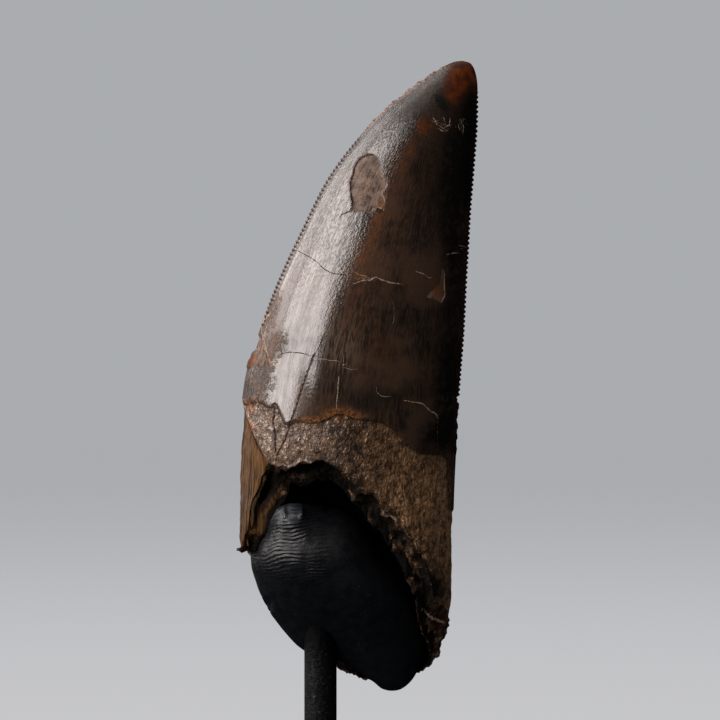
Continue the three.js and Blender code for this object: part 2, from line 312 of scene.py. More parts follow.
def edge_length(points, share):
    """The length of an edge from its foot up to each share."""
    steps = np.linspace(0, 1, 800)
    run = np.linalg.norm(np.diff(along_curve(points, steps), axis=0), axis=1)
    return np.interp(share, steps, np.concatenate([[0], np.cumsum(run)]))


def by_keel(mesial, distal):
    """One value on the front half of the tooth and another on the rear half."""
    return np.where(np.cos(angle) < 0, mesial, distal)

# %% Notch the keels
x, y, z = skin.T
length = by_keel(edge_length(MESIAL_EDGE, share), edge_length(DISTAL_EDGE, share))
drift = 0.12 * rough(np.column_stack([length, 0 * length, 0 * length]), 0.35, 8)
place = (length / by_keel(DENTICLE_PITCH["mesial"], DENTICLE_PITCH["distal"]) + drift) % 1
groove = np.exp(-((np.minimum(place, 1 - place) / 0.25) ** 2))
low = by_keel(DENTICLES_FROM_TO["mesial"][0], DENTICLES_FROM_TO["distal"][0])
high = by_keel(DENTICLES_FROM_TO["mesial"][1], DENTICLES_FROM_TO["distal"][1])
from_keel = np.abs(y - MIDDLE - LEAN * share**3)
reach = np.exp(-((from_keel / DENTICLE_REACH) ** 2)) * (from_keel < 2.5) * outside
toothed = ease(z, low, low + 0.8) * (1 - ease(z, high - 2.5, high))
crust = (np.cos(angle) < 0) * ease(z, 136.0, 138.0) * (1 - ease(z, 145.6, 146.6)) * reach
notch = groove * np.exp(-((from_keel / 1.25) ** 2)) * outside * toothed
beads = np.abs(rough(skin, 1.3, 5)) + 0.5 * np.abs(rough(skin, 2.6, 6))
heights = DENTICLE_HEIGHT * (0.45 - groove) * toothed * reach + (0.5 * beads - 0.06) * crust
for keel, height, half, depth in NICKS:
    chipped = 1 - ease(np.abs(z - height), half * 0.7, half * 1.3)
    heights -= depth * by_keel(keel == "mesial", keel == "distal") * reach * chipped
press(tooth_clay, heights)
print("keel heights from", heights.min().round(2), "to", heights.max().round(2), "mm")

# %% [markdown]
# ## Outlines on the face
# Enamel covers the crown and stops at a ragged border, below which the duller dentine lies a
# little lower. Flakes have spalled off, and cracks and scratches run over the crown. All of these
# are drawn on the face as outlines in millimetres, and each vertex gets its signed distance to
# them. The relief uses the distances now. The finish uses them again for edges that are finer
# than the mesh. A few of the drawn lines are painted shadow and painted highlight along the rims
# of flakes and breaks.

# %% The drawn borders and flakes, as x and z in millimetres
ENAMEL_BORDER = [
    (-13.0, 96.6), (-11.0, 96.5), (-9.5, 96.9), (-8.5, 96.6), (-7.9, 96.1), (-7.0, 96.0), (-6.6, 96.6),
    (-6.0, 95.7), (-5.5, 94.5), (-4.9, 93.3), (-4.4, 93.6), (-3.6, 94.1), (-2.5, 94.0), (-1.2, 93.8),
    (0.1, 94.0), (0.8, 94.3), (2.3, 95.1), (3.8, 95.1), (4.8, 94.6), (6.9, 94.2), (8.9, 94.0), (10.1, 93.3),
    (11.4, 92.2), (12.9, 90.5), (14.2, 89.4), (15.7, 89.3), (17.7, 89.2), (18.9, 88.4), (19.1, 81.0),
    (22.0, 80.4),
]
FAR_BORDER = [
    (-13.0, 97.4), (-10.5, 96.6), (-8.6, 95.2), (-6.0, 94.9), (-3.5, 93.4), (-0.5, 94.3), (2.5, 93.9),
    (5.0, 92.3), (8.0, 92.9), (10.5, 91.4), (13.0, 89.9), (16.0, 90.3), (18.9, 88.6), (19.1, 81.0),
    (22.0, 80.4),
]
STRIPPED_EDGE = [
    (-12.6, 97.8), (-11.7, 96.3), (-11.3, 94.7), (-10.0, 91.7), (-8.3, 88.9), (-7.9, 88.0), (-7.1, 86.5),
]
SPALL = [
    (7.0, 132.9), (5.8, 132.4), (5.1, 131.3), (4.9, 130.1), (4.4, 128.8), (4.5, 127.6), (4.7, 126.0),
    (4.8, 124.8), (5.3, 124.5), (6.0, 124.8), (7.3, 124.3), (8.3, 125.2), (9.0, 124.8), (9.5, 126.0),
    (8.9, 127.2), (9.8, 128.3), (9.0, 129.8), (8.8, 131.3), (8.3, 132.4), (7.7, 132.7),
]
REAR_CHIP = [
    (17.8, 116.6), (18.0, 116.0), (18.2, 112.5), (17.7, 111.2), (17.1, 111.7), (15.5, 112.1), (16.4, 113.1),
    (17.5, 114.2),
]
MARGIN_CHIP = [
    (-10.6, 102.0), (-10.2, 104.2), (-9.3, 107.6), (-8.6, 108.4), (-8.9, 106.6), (-8.6, 105.4),
    (-8.0, 104.2), (-7.5, 102.8), (-8.6, 102.0), (-9.6, 102.6),
]
FLAKES = ((SPALL, 0.15), (REAR_CHIP, 0.04), (MARGIN_CHIP, 0.16))  # outline and depth
print("drawn:", len(FLAKES), "flakes, and an enamel border of", len(ENAMEL_BORDER), "points")

# %% The drawn cracks, scratches and lines, a few of them painted shadow and highlight
BENT_PLATE = [
    (-0.7, 103.8), (-1.0, 103.0), (-1.7, 101.1), (-2.5, 98.9), (-3.1, 96.9), (-4.0, 94.3), (-4.5, 93.2),
    (-5.0, 91.4), (-5.8, 90.2), (-6.4, 88.9), (-6.7, 87.9),
]
UPPER_CRACK = [
    (2.3, 111.3), (1.9, 109.5), (1.3, 107.4), (0.5, 106.4), (0.1, 105.0), (-0.5, 104.0),
]
LINES = {  # points and half-width of each crack or scratch, and of the painted shadow and highlight lines
    "dark cracks and a painted shadow line": [
        ([(-4.3, 119.4), (-3.0, 118.8), (-1.5, 117.9), (-0.8, 117.5), (0.8, 116.0), (1.8, 115.5),
          (3.5, 115.3), (4.6, 115.3)], 0.035),
        ([(-5.8, 103.8), (-4.3, 104.1), (-3.0, 104.0), (-1.0, 103.5)], 0.04),
        ([(-6.6, 96.3), (-6.9, 94.0), (-6.6, 92.4), (-6.5, 89.9), (-6.5, 88.9)], 0.10),
        ([(4.9, 125.1), (4.3, 124.5), (3.8, 124.3), (3.0, 124.0), (2.8, 123.3)], 0.08),
        # The spall's upper left edge is a painted shadow line, not a crack.
        ([(8.0, 132.8), (6.9, 132.9), (5.8, 132.4), (5.1, 131.3), (4.9, 130.1), (4.4, 128.8),
          (4.5, 127.6), (4.7, 126.0), (4.8, 124.9)], 0.09),
        ([(-12.4, 96.4), (-11.4, 94.9), (-10.4, 92.4), (-9.2, 90.0), (-8.4, 88.9)], 0.12),
        ([(10.5, 111.5), (10.8, 109.6), (10.6, 108.1)], 0.02),
    ],
    "bent cracks": [
        (BENT_PLATE, 0.11),
        (UPPER_CRACK, 0.04),
        ([(3.4, 103.6), (3.3, 102.0)], 0.05),
        ([(17.1, 94.4), (17.1, 91.8), (17.0, 88.8)], 0.03),
    ],
    "pale lines": [
        ([(4.7, 115.8), (5.8, 115.3), (7.1, 115.0)], 0.03),
        ([(4.9, 113.9), (6.3, 114.5), (7.3, 114.5), (8.1, 115.0), (9.1, 114.5), (10.4, 114.1),
          (12.2, 113.9)], 0.05),
        ([(13.8, 115.8), (14.9, 115.5), (15.9, 114.9), (16.5, 115.0)], 0.04),
        ([(18.3, 118.3), (19.4, 118.6), (20.6, 118.5)], 0.04),
        ([(20.2, 119.7), (21.7, 119.5)], 0.03),
        ([(-0.8, 102.8), (0.3, 103.1), (1.5, 102.9), (3.3, 102.7)], 0.03),
        ([(3.4, 101.9), (4.3, 101.6), (5.6, 101.6)], 0.025),
        ([(2.75, 100.6), (2.6, 98.2), (2.35, 95.6)], 0.035),
        ([(8.2, 99.2), (8.3, 98.2), (9.1, 97.6), (10.5, 97.7)], 0.025),
        ([(12.0, 97.1), (13.4, 96.9), (14.9, 96.6), (15.5, 96.0), (16.1, 95.5), (16.9, 95.1),
          (17.1, 94.3)], 0.06),
        ([(16.5, 138.4), (17.0, 137.4), (17.6, 136.9), (18.3, 136.9), (18.9, 137.4), (19.0, 138.5)], 0.04),
        ([(17.4, 136.5), (18.2, 136.3), (18.9, 136.6)], 0.04),
        ([(16.6, 137.6), (17.4, 138.0)], 0.04),
        ([(18.0, 137.5), (19.3, 137.0)], 0.04),
        ([(18.0, 138.6), (18.4, 137.6)], 0.04),
        ([(20.5, 138.3), (21.0, 137.2), (20.8, 135.8)], 0.04),
        ([(20.2, 137.5), (20.5, 136.4)], 0.04),
        ([(20.9, 138.4), (21.4, 138.1)], 0.04),
        ([(-7.3, 110.0), (-8.1, 109.0), (-9.1, 107.7), (-9.3, 106.4), (-9.5, 105.3)], 0.07),
        ([(-8.7, 105.2), (-7.8, 103.9), (-7.3, 102.6), (-5.8, 102.8)], 0.07),
        # The spall's right and lower rims are painted highlights.
        ([(9.5, 125.4), (9.4, 126.2), (8.9, 127.2), (9.3, 127.8), (9.8, 128.3), (9.4, 129.2),
          (9.0, 129.8), (8.8, 131.0)], 0.035),
        ([(6.6, 124.5), (7.3, 124.2), (7.8, 124.8), (8.4, 125.2), (9.0, 124.8), (9.1, 125.4)], 0.04),
        ([(18.1, 115.9), (18.2, 112.4), (17.7, 111.2)], 0.05),
        ([(-12.0, 103.4), (-10.8, 103.5), (-9.6, 105.0), (-9.9, 106.2)], 0.05),
        ([(-8.9, 109.0), (-8.6, 106.6), (-8.0, 105.0), (-7.6, 103.4)], 0.04),
        # A painted highlight on a lit lip of the broken wall, and one on the rim of a ledge below it.
        ([(8.5, 80.4), (9.6, 79.9), (11.0, 79.3)], 0.30),
        ([(14.3, 66.9), (16.1, 65.1), (17.6, 64.4), (18.8, 64.1)], 0.16),
    ],
}
print("drawn:", {kind: len(lines) for kind, lines in LINES.items()})

# %% [markdown]
# ## From outlines to numbers
# On the real tooth the borders of enamel, flakes and cracks are sharp. They could be painted on the
# mesh as weights, but a painted edge is only as sharp as the mesh is fine. So each vertex gets its
# distance to the outline, positive on one side and negative on the other. A distance changes
# evenly from vertex to vertex, and the place where it passes 0 stays sharp between them.

# %% Signed distances
def distance_to_line(points, line):
    """The signed distance from each point to a line, the run along it, and its whole length."""
    best, signed, run = np.full(len(points), 1e9), np.zeros(len(points)), np.zeros(len(points))
    line, walked = np.asarray(line, float), 0.0
    for start, end in zip(line[:-1], line[1:]):
        span = end - start
        reach = np.linalg.norm(span)
        along = np.clip(((points - start) @ span) / reach**2, 0, 1)
        away = points - start - along[:, None] * span
        gap = np.linalg.norm(away, axis=1)
        nearer = gap < best
        side = np.sign(span[0] * away[:, 1] - span[1] * away[:, 0])
        best, signed = np.where(nearer, gap, best), np.where(nearer, gap * side, signed)
        run = np.where(nearer, walked + along * reach, run)
        walked += reach
    return signed, run, walked


def above_border(points, border):
    """The distance to a border that runs from left to right, positive above it."""
    gap = np.abs(distance_to_line(points, border)[0])
    return gap * np.sign(points[:, 1] - np.interp(points[:, 0], *np.transpose(border)))


def inside_outline(points, outline):
    """The distance to a closed outline, positive inside it."""
    closed = np.asarray(outline + outline[:1], float)
    crossings = np.zeros(len(points), int)
    for (x0, z0), (x1, z1) in zip(closed[:-1], closed[1:]):
        straddles = (z0 > points[:, 1]) != (z1 > points[:, 1])
        crossings += straddles & (points[:, 0] < x0 + (points[:, 1] - z0) * (x1 - x0) / (z1 - z0 or 1e-9))
    return np.where(crossings % 2 == 1, 1, -1) * np.abs(distance_to_line(points, closed)[0])


def nearest_lines(points, lines):
    """For each point the nearest line's signed distance, its strength there, and its half-width."""
    found = np.zeros((len(points), 3))
    found[:, 0] = 1e9
    for line, half_width in lines:
        signed, run, whole = distance_to_line(points, line)
        between_ends = ease(run, -0.01, 0.3) * (1 - ease(run, whole - 0.8, whole))
        strength = between_ends * (1 - ease(np.abs(signed), 0.45, 0.8))
        nearer = np.abs(signed) < np.abs(found[:, 0])
        found[nearer] = np.column_stack([signed, strength, np.full(len(points), half_width)])[nearer]
    return found

# %% Measure every vertex against the outlines
face = skin[:, [0, 2]]
facing = shown & outside
enamel = np.where(shown, above_border(face, ENAMEL_BORDER), above_border(face, FAR_BORDER))
enamel = np.where(outside, np.clip(enamel, -6, 6), -6.0)
stripped = -distance_to_line(face, STRIPPED_EDGE)[0]
stripped = np.where((face[:, 0] < -5) & (face[:, 1] < 98), np.clip(stripped, -3, 3), -3.0)
flake, flake_depth = np.full(len(face), -3.0), np.zeros(len(face))
for outline, depth in FLAKES:
    inside = np.where(facing, inside_outline(face, outline), -3.0)
    flake = np.maximum(flake, inside)
    flake_depth = np.maximum(flake_depth, depth * ease(inside, -0.1, 0.2))
whole = np.ones(len(face))
only_shown = np.column_stack([whole, shown & (up == 0), whole])
drawn = {name: nearest_lines(face, lines) * only_shown for name, lines in LINES.items()}
plate = -distance_to_line(face, UPPER_CRACK + BENT_PLATE)[0]
for name, distance in (("on the enamel", enamel), ("stripped", stripped), ("in flakes", flake)):
    print(name, "are", int((distance > 0).sum()), "vertices")

# %% [markdown]
# ## Relief
# The enamel's edge is a small step, the bare dentine is lumpy, and the broken wall is craggy, with
# a few deep hollows of its own. Right of the long crack the crown's face is bent back a little,
# which ends the light's reflection at the crack, and a low swell beside the crack catches the light
# again. A displace modifier could do this with a texture. Here each vertex is pressed along its
# normal, because the depth comes from the drawn distances and can be printed.

# %% Press the relief
HOLLOWS = [  # angle, share of the broken wall's width, reach in degrees, reach in share, depth
    (144, 0.24, 4.5, 0.20, 2.4), (149, 0.16, 2.5, 0.14, 1.2), (149, 0.75, 6.0, 0.22, -0.5),
    (162, 0.55, 3.5, 0.30, 1.2), (125, 0.45, 9.0, 0.22, 0.9), (106, 0.40, 8.0, 0.25, 1.1),
    (90, 0.50, 7.0, 0.25, 0.8), (76, 0.35, 5.0, 0.22, 0.9), (64, 0.45, 5.0, 0.25, 0.8),
    (55, 0.30, 4.0, 0.20, 0.8), (47, 0.55, 4.0, 0.25, 0.6), (32, 0.45, 8.0, 0.35, 0.9),
]
PLATE_BEND, RIDGE_HEIGHT, ENAMEL_STEP, STRIPPED_STEP, EDGE_SINK = 0.06, 0.24, 0.22, 0.35, 0.5
CRACK_LEAN, CRACK_MIDDLE = 0.25, 98.8  # its lean for each millimetre up, and the height of its middle
degrees = np.degrees(angle)
hollow = sum(depth * spot(degrees, over, at, across, wide, deep) for at, across, wide, deep, depth in HOLLOWS)
hollow *= np.sin(math.pi * np.clip(over, 0, 1))
crags = 0.55 * rough(skin, 0.5, 6) + 0.55 * rough(skin, 0.95, 7) - 0.55 * np.abs(rough(skin, 1.2, 17))
crags += 0.20 * rough(skin, 2.4, 9) + 0.15
crags *= 1 - 0.6 * ease(degrees, 138, 146) * (1 - ease(degrees, 180, 190))
bare = ease(-enamel, -0.12, 0.12)
lumps = 0.15 * rough(skin, 0.55, 1) + 0.09 * rough(skin, 1.3, 2)
swell = 0.12 * rough(skin, 0.12, 4)
crown_foot = ease(z, 88, 93) * (1 - ease(z, 103.5, 108)) * facing
bent = PLATE_BEND * ease(plate, 0, 3.0) * (1 - ease(plate, 3, 12)) * crown_foot
near_break = ease(row, ROWS["outside"] - 7, ROWS["outside"])
beside_crack = x - CRACK_LEAN * (z - CRACK_MIDDLE)
ridge = RIDGE_HEIGHT * spot(beside_crack, z, -0.1, 97.0, 2.3, 5.5) * facing
face_relief = swell + ridge - bent - ENAMEL_STEP * bare + lumps * ease(-enamel, 0, 1.0)
face_relief -= STRIPPED_STEP * ease(stripped, -0.1, 0.2) + flake_depth
face_relief -= EDGE_SINK * near_break**2 - 0.5 * crags * near_break * bare
relief = np.where(outside, face_relief, crags - hollow - EDGE_SINK)
press(tooth_clay, relief)
print("relief from", relief.min().round(2), "to", relief.max().round(2), "mm")

# %% [markdown]
# ## Stains and painted shade
# Colour on a fossil is not random: the tip is amber, a rusty zone runs down the crown beside the
# pale reflection, and the rear edge is almost black. Painting them in vertex paint would work, but
# could not be read or changed later. A list of soft stains, each an oval on the face, puts them
# where they are on the real tooth, and the finish breaks them up with noise. A few dark ovals in
# the break, and the darkening of the broken wall's crevices, gap and inner lip, are painted shade.

# %% The list of stains and painted shade
STAINS_AND_SHADE = [  # x, z, half-width, half-height, lean in degrees, warm, dark (stains, and painted shade in the break), worn, both faces
    (21.0, 144.4, 2.9, 3.4, 0, 2.5, 0.0, 0.0, True), (19.4, 141.6, 1.5, 1.6, 20, 1.2, 0.0, 0.0, True),
    (17.7, 140.6, 0.5, 0.95, -40, 0.0, 3.0, 0.0, False), (17.1, 141.5, 0.4, 0.6, -60, 0.0, 1.6, 0.0, False),
    (22.3, 139.0, 1.3, 3.4, 0, 0.0, 1.3, 0.0, True), (15.3, 137.3, 1.7, 1.6, 35, 1.3, 0.0, 0.0, True),
    (12.9, 133.6, 1.5, 3.0, 28, 1.0, 0.0, 0.0, True), (10.8, 128.0, 1.3, 4.2, 18, 0.9, 0.0, 0.0, False),
    (8.0, 122.4, 1.2, 4.4, 18, 1.0, 0.0, 0.0, False), (5.4, 116.6, 1.2, 3.6, 16, 0.9, 0.0, 0.0, False),
    (4.2, 111.0, 1.2, 3.6, 12, 0.8, 0.0, 0.0, False), (3.2, 105.8, 1.1, 3.4, 10, 0.7, 0.0, 0.0, False),
    (7.6, 117.6, 1.8, 5.0, 14, 0.6, 0.0, 0.0, False), (6.4, 110.2, 1.6, 4.5, 10, 0.6, 0.0, 0.0, False),
    (16.5, 130.5, 4.0, 9.0, 10, 0.55, 0.0, 0.0, False), (11.5, 120.5, 3.2, 7.0, 10, 0.35, 0.0, 0.0, False),
    (18.5, 130.5, 3.4, 9.5, 8, 0.0, 0.55, 0.0, True), (13.6, 124.0, 3.4, 7.0, 10, 0.0, 0.30, 0.0, True),
    (21.8, 131.0, 1.6, 9.0, 3, 0.0, 0.8, 0.0, True), (8.6, 104.3, 3.6, 4.5, 0, 0.75, 0.0, 0.0, False),
    (3.0, 95.5, 3.6, 1.2, 0, 1.5, 0.0, 0.0, False), (-1.5, 94.3, 2.6, 0.5, 0, 0.8, 0.0, 0.0, False),
    (-10.4, 96.4, 0.9, 1.2, 0, 2.0, 0.0, 0.4, False), (-10.3, 93.2, 0.9, 1.0, 0, 1.6, 0.0, 0.0, False),
    (-10.2, 102.8, 0.8, 1.2, 20, 1.8, 0.0, 0.0, False), (-10.9, 98.4, 0.8, 1.2, 0, 0.0, 2.5, 0.0, False),
    (-8.2, 103.8, 1.8, 3.4, 8, 0.3, 0.0, 1.0, False), (-9.3, 100.0, 2.6, 3.4, 0, 0.2, 0.5, 1.5, False),
    (-6.9, 110.0, 1.0, 3.6, 20, 0.5, 0.2, 1.3, False), (-5.9, 105.4, 1.5, 2.2, 20, 0.4, 0.1, 1.1, False),
    (19.4, 119.0, 2.2, 22.0, 0, 0.0, 0.9, 0.0, True), (18.2, 98.0, 3.0, 9.0, 0, 0.0, 0.8, 0.0, True),
    (16.4, 91.7, 2.8, 2.2, 0, 0.0, 0.9, 0.0, False), (8.0, 97.6, 5.6, 2.2, 0, 0.0, 0.75, 0.0, False),
    (12.6, 109.5, 3.0, 5.0, 0, 0.0, 0.35, 0.0, False), (17.2, 113.2, 1.7, 2.6, 0, 1.3, 0.0, 0.3, False),
    # The dark in the ovals on these lines is painted shade: under the broken lip, in the break's pits and
    # notches, and on the root's lower right where the putty shades it. Their warm and worn values are stains.
    (6.8, 128.6, 2.0, 4.0, 10, 0.5, 0.0, 1.0, False), (-2.0, 86.9, 5.0, 1.0, 0, 0.0, 1.0, 0.0, False),
    (4.6, 84.8, 3.2, 1.0, -20, 0.0, 0.8, 0.0, False), (16.0, 69.3, 2.6, 2.4, 0, 0.0, 1.5, 0.0, False),
    (16.4, 73.0, 3.0, 4.6, 0, 0.0, 0.55, 0.0, False), (17.8, 64.5, 1.8, 2.0, 0, 1.0, 0.8, 0.0, False),
    (-11.7, 75.8, 0.7, 1.4, 0, 1.6, 0.0, 0.0, False), (-10.1, 75.6, 0.9, 1.5, 0, 0.0, 1.6, 0.0, False),
    (-8.2, 83.0, 2.6, 1.0, -36, 0.0, 2.4, 0.0, False), (-6.6, 85.3, 1.6, 0.8, -20, 0.0, 1.5, 0.0, False),
    (0.4, 87.4, 2.3, 0.6, 8, 0.0, 1.6, 0.0, False),
]

# %% Lay the stains, and painted shade on the broken wall
DARK = 1  # the column of the dark stains and of the painted shade
stain_and_shade = np.zeros((len(face), 3))
brushed = spot(beside_crack, z, -0.4, 98.8, 2.4, 5.2) * ease(plate, -0.05, 0.1) * facing
# Tan right of the long crack: partly a tan colour, partly painted sheen where the crown's reflection runs on
# past the crack.
tan = brushed + 0.7 * spot(x, z, 3.4, 105.2, 2.6, 3.6) * facing
wall_rows = ~outside & (up == 0) & shown
# Painted shade on the broken wall: darker under its outer edge and over its inner part, in its crevices, and
# along its inner lip beside the putty.
gap = 0.8 * np.exp(-((over - 0.2) / 0.16) ** 2) * ease(degrees, 20, 34) * (1 - ease(degrees, 96, 112))
gap += 2.2 * ease(over, 0.3, 0.5) * ease(degrees, 46, 60) * (1 - ease(degrees, 134, 140))
painted_crevice_shade = ease(hollow - crags, 0.05, 0.9) * ease(degrees, 6, 12) * (1 - ease(degrees, 136, 141))
patchy = 0.6 + 1.4 * np.clip(rough(skin, 0.5, 21), -0.4, 1)
painted_inner_lip_shade = 1.2 * ease(over, 0.8, 1.0) * (degrees > 60) * (degrees < 142)
stain_and_shade[:, DARK] += wall_rows * (painted_crevice_shade + gap * patchy + painted_inner_lip_shade)
for x0, z0, wide, tall, lean, warm, dark, worn, both in STAINS_AND_SHADE:
    turn_by = math.radians(lean)
    dx, dz = face[:, 0] - x0, face[:, 1] - z0
    across = dx * math.cos(turn_by) - dz * math.sin(turn_by)
    along = dx * math.sin(turn_by) + dz * math.cos(turn_by)
    soft = spot(across, along, 0, 0, wide, tall) * (1 if both else shown | ~outside)
    stain_and_shade += soft[:, None] * np.array([warm, dark, worn])
print("stains:", len(STAINS_AND_SHADE), "strongest", stain_and_shade.max(axis=0).round(1))

# %% Keep what the finish needs at each vertex
LIE_RADIUS = 12.0  # the enamel's grain is laid on an even bar of this radius, then it runs with the tooth
FRONT_CORNER, CORNER_REACH = 163, 21  # degrees; the broken wall there looks like bare dentine
lie_x, lie_y = np.cos(angle) * LIE_RADIUS, np.sin(angle) * LIE_RADIUS
lie = np.column_stack([lie_x, lie_y, edge_length(DISTAL_EDGE, share)])
lie = np.where(outside[:, None], lie, skin)
front_corner = (up == 0) & (np.abs(degrees - FRONT_CORNER) < CORNER_REACH)
wall = np.where(outside | front_corner, 0.0, np.where(up > 0, 2.0, 1.0))
tooth = to_object(tooth_clay, "fossil_tooth", {
    "lie": lie, "stain_and_shade": stain_and_shade, "enamel": enamel, "flake": flake, "stripped": stripped, "wall": wall,
    "notch": notch, "brushed": brushed, "tan": tan, "keel": reach * (np.cos(angle) < 0), "crust": crust,
    "dark_line": drawn["dark cracks and a painted shadow line"], "bent_line": drawn["bent cracks"], "pale_line": drawn["pale lines"],
})
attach(tooth, "root")
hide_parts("tooth")

# %% [markdown]
# ## The fossil finish
# Minerals have turned the enamel to a dark, satin-glossy brown-black with fine lengthwise
# striations and rusty stains. The bare dentine is duller, grey-brown and pebbly. Two materials
# could share the faces out between them, but one material that chooses by the distances kept at
# the vertices keeps the borders crisp, and both kinds share cracks and dirt. The calls below act
# on `tree`, the node tree of the finish in hand.

# %% Nodes and links
def new_finish(name):
    """A new material, its node tree and its shader."""
    finish = bpy.data.materials.new(name)
    finish.use_nodes = True
    return finish, finish.node_tree, finish.node_tree.nodes["Principled BSDF"]


def plug(value, socket):
    """Links a node's output to a socket, or sets the socket to a plain value."""
    if isinstance(value, bpy.types.NodeSocket):
        tree.links.new(value, socket)
    else:
        socket.default_value = value


def add(kind, settings=(), **inputs):
    """A node in the finish in hand. An input's name has _ for a space, or _ and the socket's number."""
    made = tree.nodes.new(kind)
    for name, value in dict(settings).items():
        setattr(made, name, value)
    for name, value in inputs.items():
        plug(value, made.inputs[int(name[1:])] if name[0] == "_" else made.inputs[name.replace("_", " ")])
    return made


def set_shader(shader, **inputs):
    """Plugs outputs and plain values into a shader; a name has _ for a space."""
    for name, value in inputs.items():
        plug(value, shader.inputs[name.replace("_", " ")])

# %% Arithmetic with nodes
def maths(operation, a, b=0.0):
    return add("ShaderNodeMath", {"operation": operation}, _0=a, _1=b).outputs[0]


def product(*factors):
    out = factors[0]
    for factor in factors[1:]:
        out = maths("MULTIPLY", out, factor)
    return out


def total(*terms):
    out = terms[0]
    for term in terms[1:]:
        out = maths("ADD", out, term)
    return out


def less(value):
    """What is left of 1."""
    return maths("SUBTRACT", 1.0, value)


def ramp(value, low, high, start=0.0, end=1.0):
    """A smooth ramp: start where the value is under low, end where it is over high."""
    node = add("ShaderNodeMapRange", {"interpolation_type": "SMOOTHSTEP"}, Value=value)
    for number, setting in enumerate((low, high, start, end), 1):
        node.inputs[number].default_value = setting
    return node.outputs[0]

# %% Mixing colours and numbers
def mixed(kind, sockets, values):
    """A Mix node's output, with values or other outputs on its sockets."""
    node = add("ShaderNodeMix", {"data_type": kind})
    for number, value in zip(sockets, values):
        plug(value, node.inputs[number])
    return node.outputs[2 if kind == "RGBA" else 0]


def blend(share, a, b):
    """Colour a where the share is 0, colour b where it is 1."""
    return mixed("RGBA", (0, 6, 7), (share, a, b))


def level(share, a, b):
    """Number a where the share is 0, number b where it is 1."""
    return mixed("FLOAT", (0, 2, 3), (share, a, b))


def colour(red, green, blue):
    return (red, green, blue, 1.0)


def washed(tone, share, *rgb):
    """The tone with a wash of another colour over it, as strong as the share."""
    return blend(share, tone, colour(*rgb))

# %% Places, noise and bumps
def stretched(vector, scale):
    return add("ShaderNodeMapping", Vector=vector, Scale=scale).outputs[0]


def place_in_mm():
    """The place on the piece, in millimetres."""
    return stretched(add("ShaderNodeTexCoord").outputs["Object"], (1 / MM, 1 / MM, 1 / MM))


def grain(vector, scale, detail=4.0, roughness=0.55):
    """Noise round 0.5; scale is in bumps per millimetre."""
    noise_node = add("ShaderNodeTexNoise", Vector=vector, Scale=scale, Detail=detail, Roughness=roughness)
    return noise_node.outputs[0]


def bump(height, distance=MM):
    """A normal bent by a height, which is in millimetres unless the distance says otherwise."""
    return add("ShaderNodeBump", Strength=1.0, Distance=distance, Height=height).outputs[0]


def kept(name, field="Fac"):
    """A number that was kept at the vertices."""
    return add("ShaderNodeAttribute", {"attribute_name": name}).outputs[field]

# %% Patterns shared by enamel and dentine
fossil, tree, shader = new_finish("fossil")
at_mm, lie_at = place_in_mm(), kept("lie", "Vector")
x_mm, _, z_mm = add("ShaderNodeSeparateXYZ", Vector=at_mm).outputs
warm, dark, worn = add("ShaderNodeSeparateXYZ", Vector=kept("stain_and_shade", "Vector")).outputs
streak = grain(stretched(lie_at, (1, 1, 0.06)), 1.3, 5)
fine_streak = grain(stretched(lie_at, (1, 1, 0.10)), 5.5, 4)
wood = grain(stretched(lie_at, (1, 1, 0.05)), 3.0, 5)
wrinkle = grain(stretched(lie_at, (1, 1, 0.75)), 2.9, 3)
wrinkled = ramp(z_mm, 104, 122)
blotch = grain(at_mm, 0.16, 5)
mottle = grain(at_mm, 0.8, 6, 0.6)
pebble = grain(at_mm, 2.3, 3, 0.55)
grit = grain(at_mm, 5.0, 3, 0.6)

# %% Cobbles: two sizes of cells, swayed so that they aren't regular
SWAY, SQUAT, COBBLE_SCALES, SMALL_SHARE = (0.9, 0.9, 0.9), (1, 1, 0.8), (1.25, 2.9), 0.45
sway = add("ShaderNodeTexNoise", Vector=at_mm, Scale=1.1, Detail=2.0).outputs["Color"]
moved = add("ShaderNodeVectorMath", {"operation": "MULTIPLY_ADD"}, _0=sway, _1=SWAY, _2=at_mm).outputs[0]
squat = stretched(moved, SQUAT)
coarse, small = (
    add("ShaderNodeTexVoronoi", Vector=squat, Scale=scale).outputs["Distance"] for scale in COBBLE_SCALES
)
cobble = level(SMALL_SHARE, coarse, small)

# %% Shares of the regions and lines
def wobbled(value, by):
    """A distance made uneven, so that an edge looks broken and not cut."""
    return total(value, product(total(mottle, -0.5), by))


def line_mask(name, wobble=0.25):
    """1 on the drawn lines, 0 beside them; the lines swell and thin out on their way."""
    signed, strength, half_width = add("ShaderNodeSeparateXYZ", Vector=kept(name, "Vector")).outputs
    off = maths("ABSOLUTE", wobbled(signed, wobble))
    reach = product(half_width, ramp(pebble, 0.35, 0.62, 0.6, 2.4))
    near = maths("SUBTRACT", 1.0, maths("DIVIDE", off, reach))
    return product(ramp(near, 0.0, 0.6), strength)


on_enamel = ramp(total(wobbled(kept("enamel"), 0.7), product(total(pebble, -0.5), 0.5)), -0.05, 0.05)
on_strip = ramp(wobbled(kept("stripped"), 0.6), -0.12, 0.12)
in_flake = ramp(total(wobbled(kept("flake"), 0.3), product(total(pebble, -0.5), 0.4)), -0.03, 0.04)
broken = ramp(kept("wall"), 0.05, 0.6)
in_cavity = ramp(kept("wall"), 1.0, 1.8)
# The dark lines include one painted shadow line, and the pale lines include painted highlights on lit rims.
dark_lines = maths("MAXIMUM", line_mask("dark_line"), line_mask("bent_line"))
pale_lines = line_mask("pale_line", 0.35)

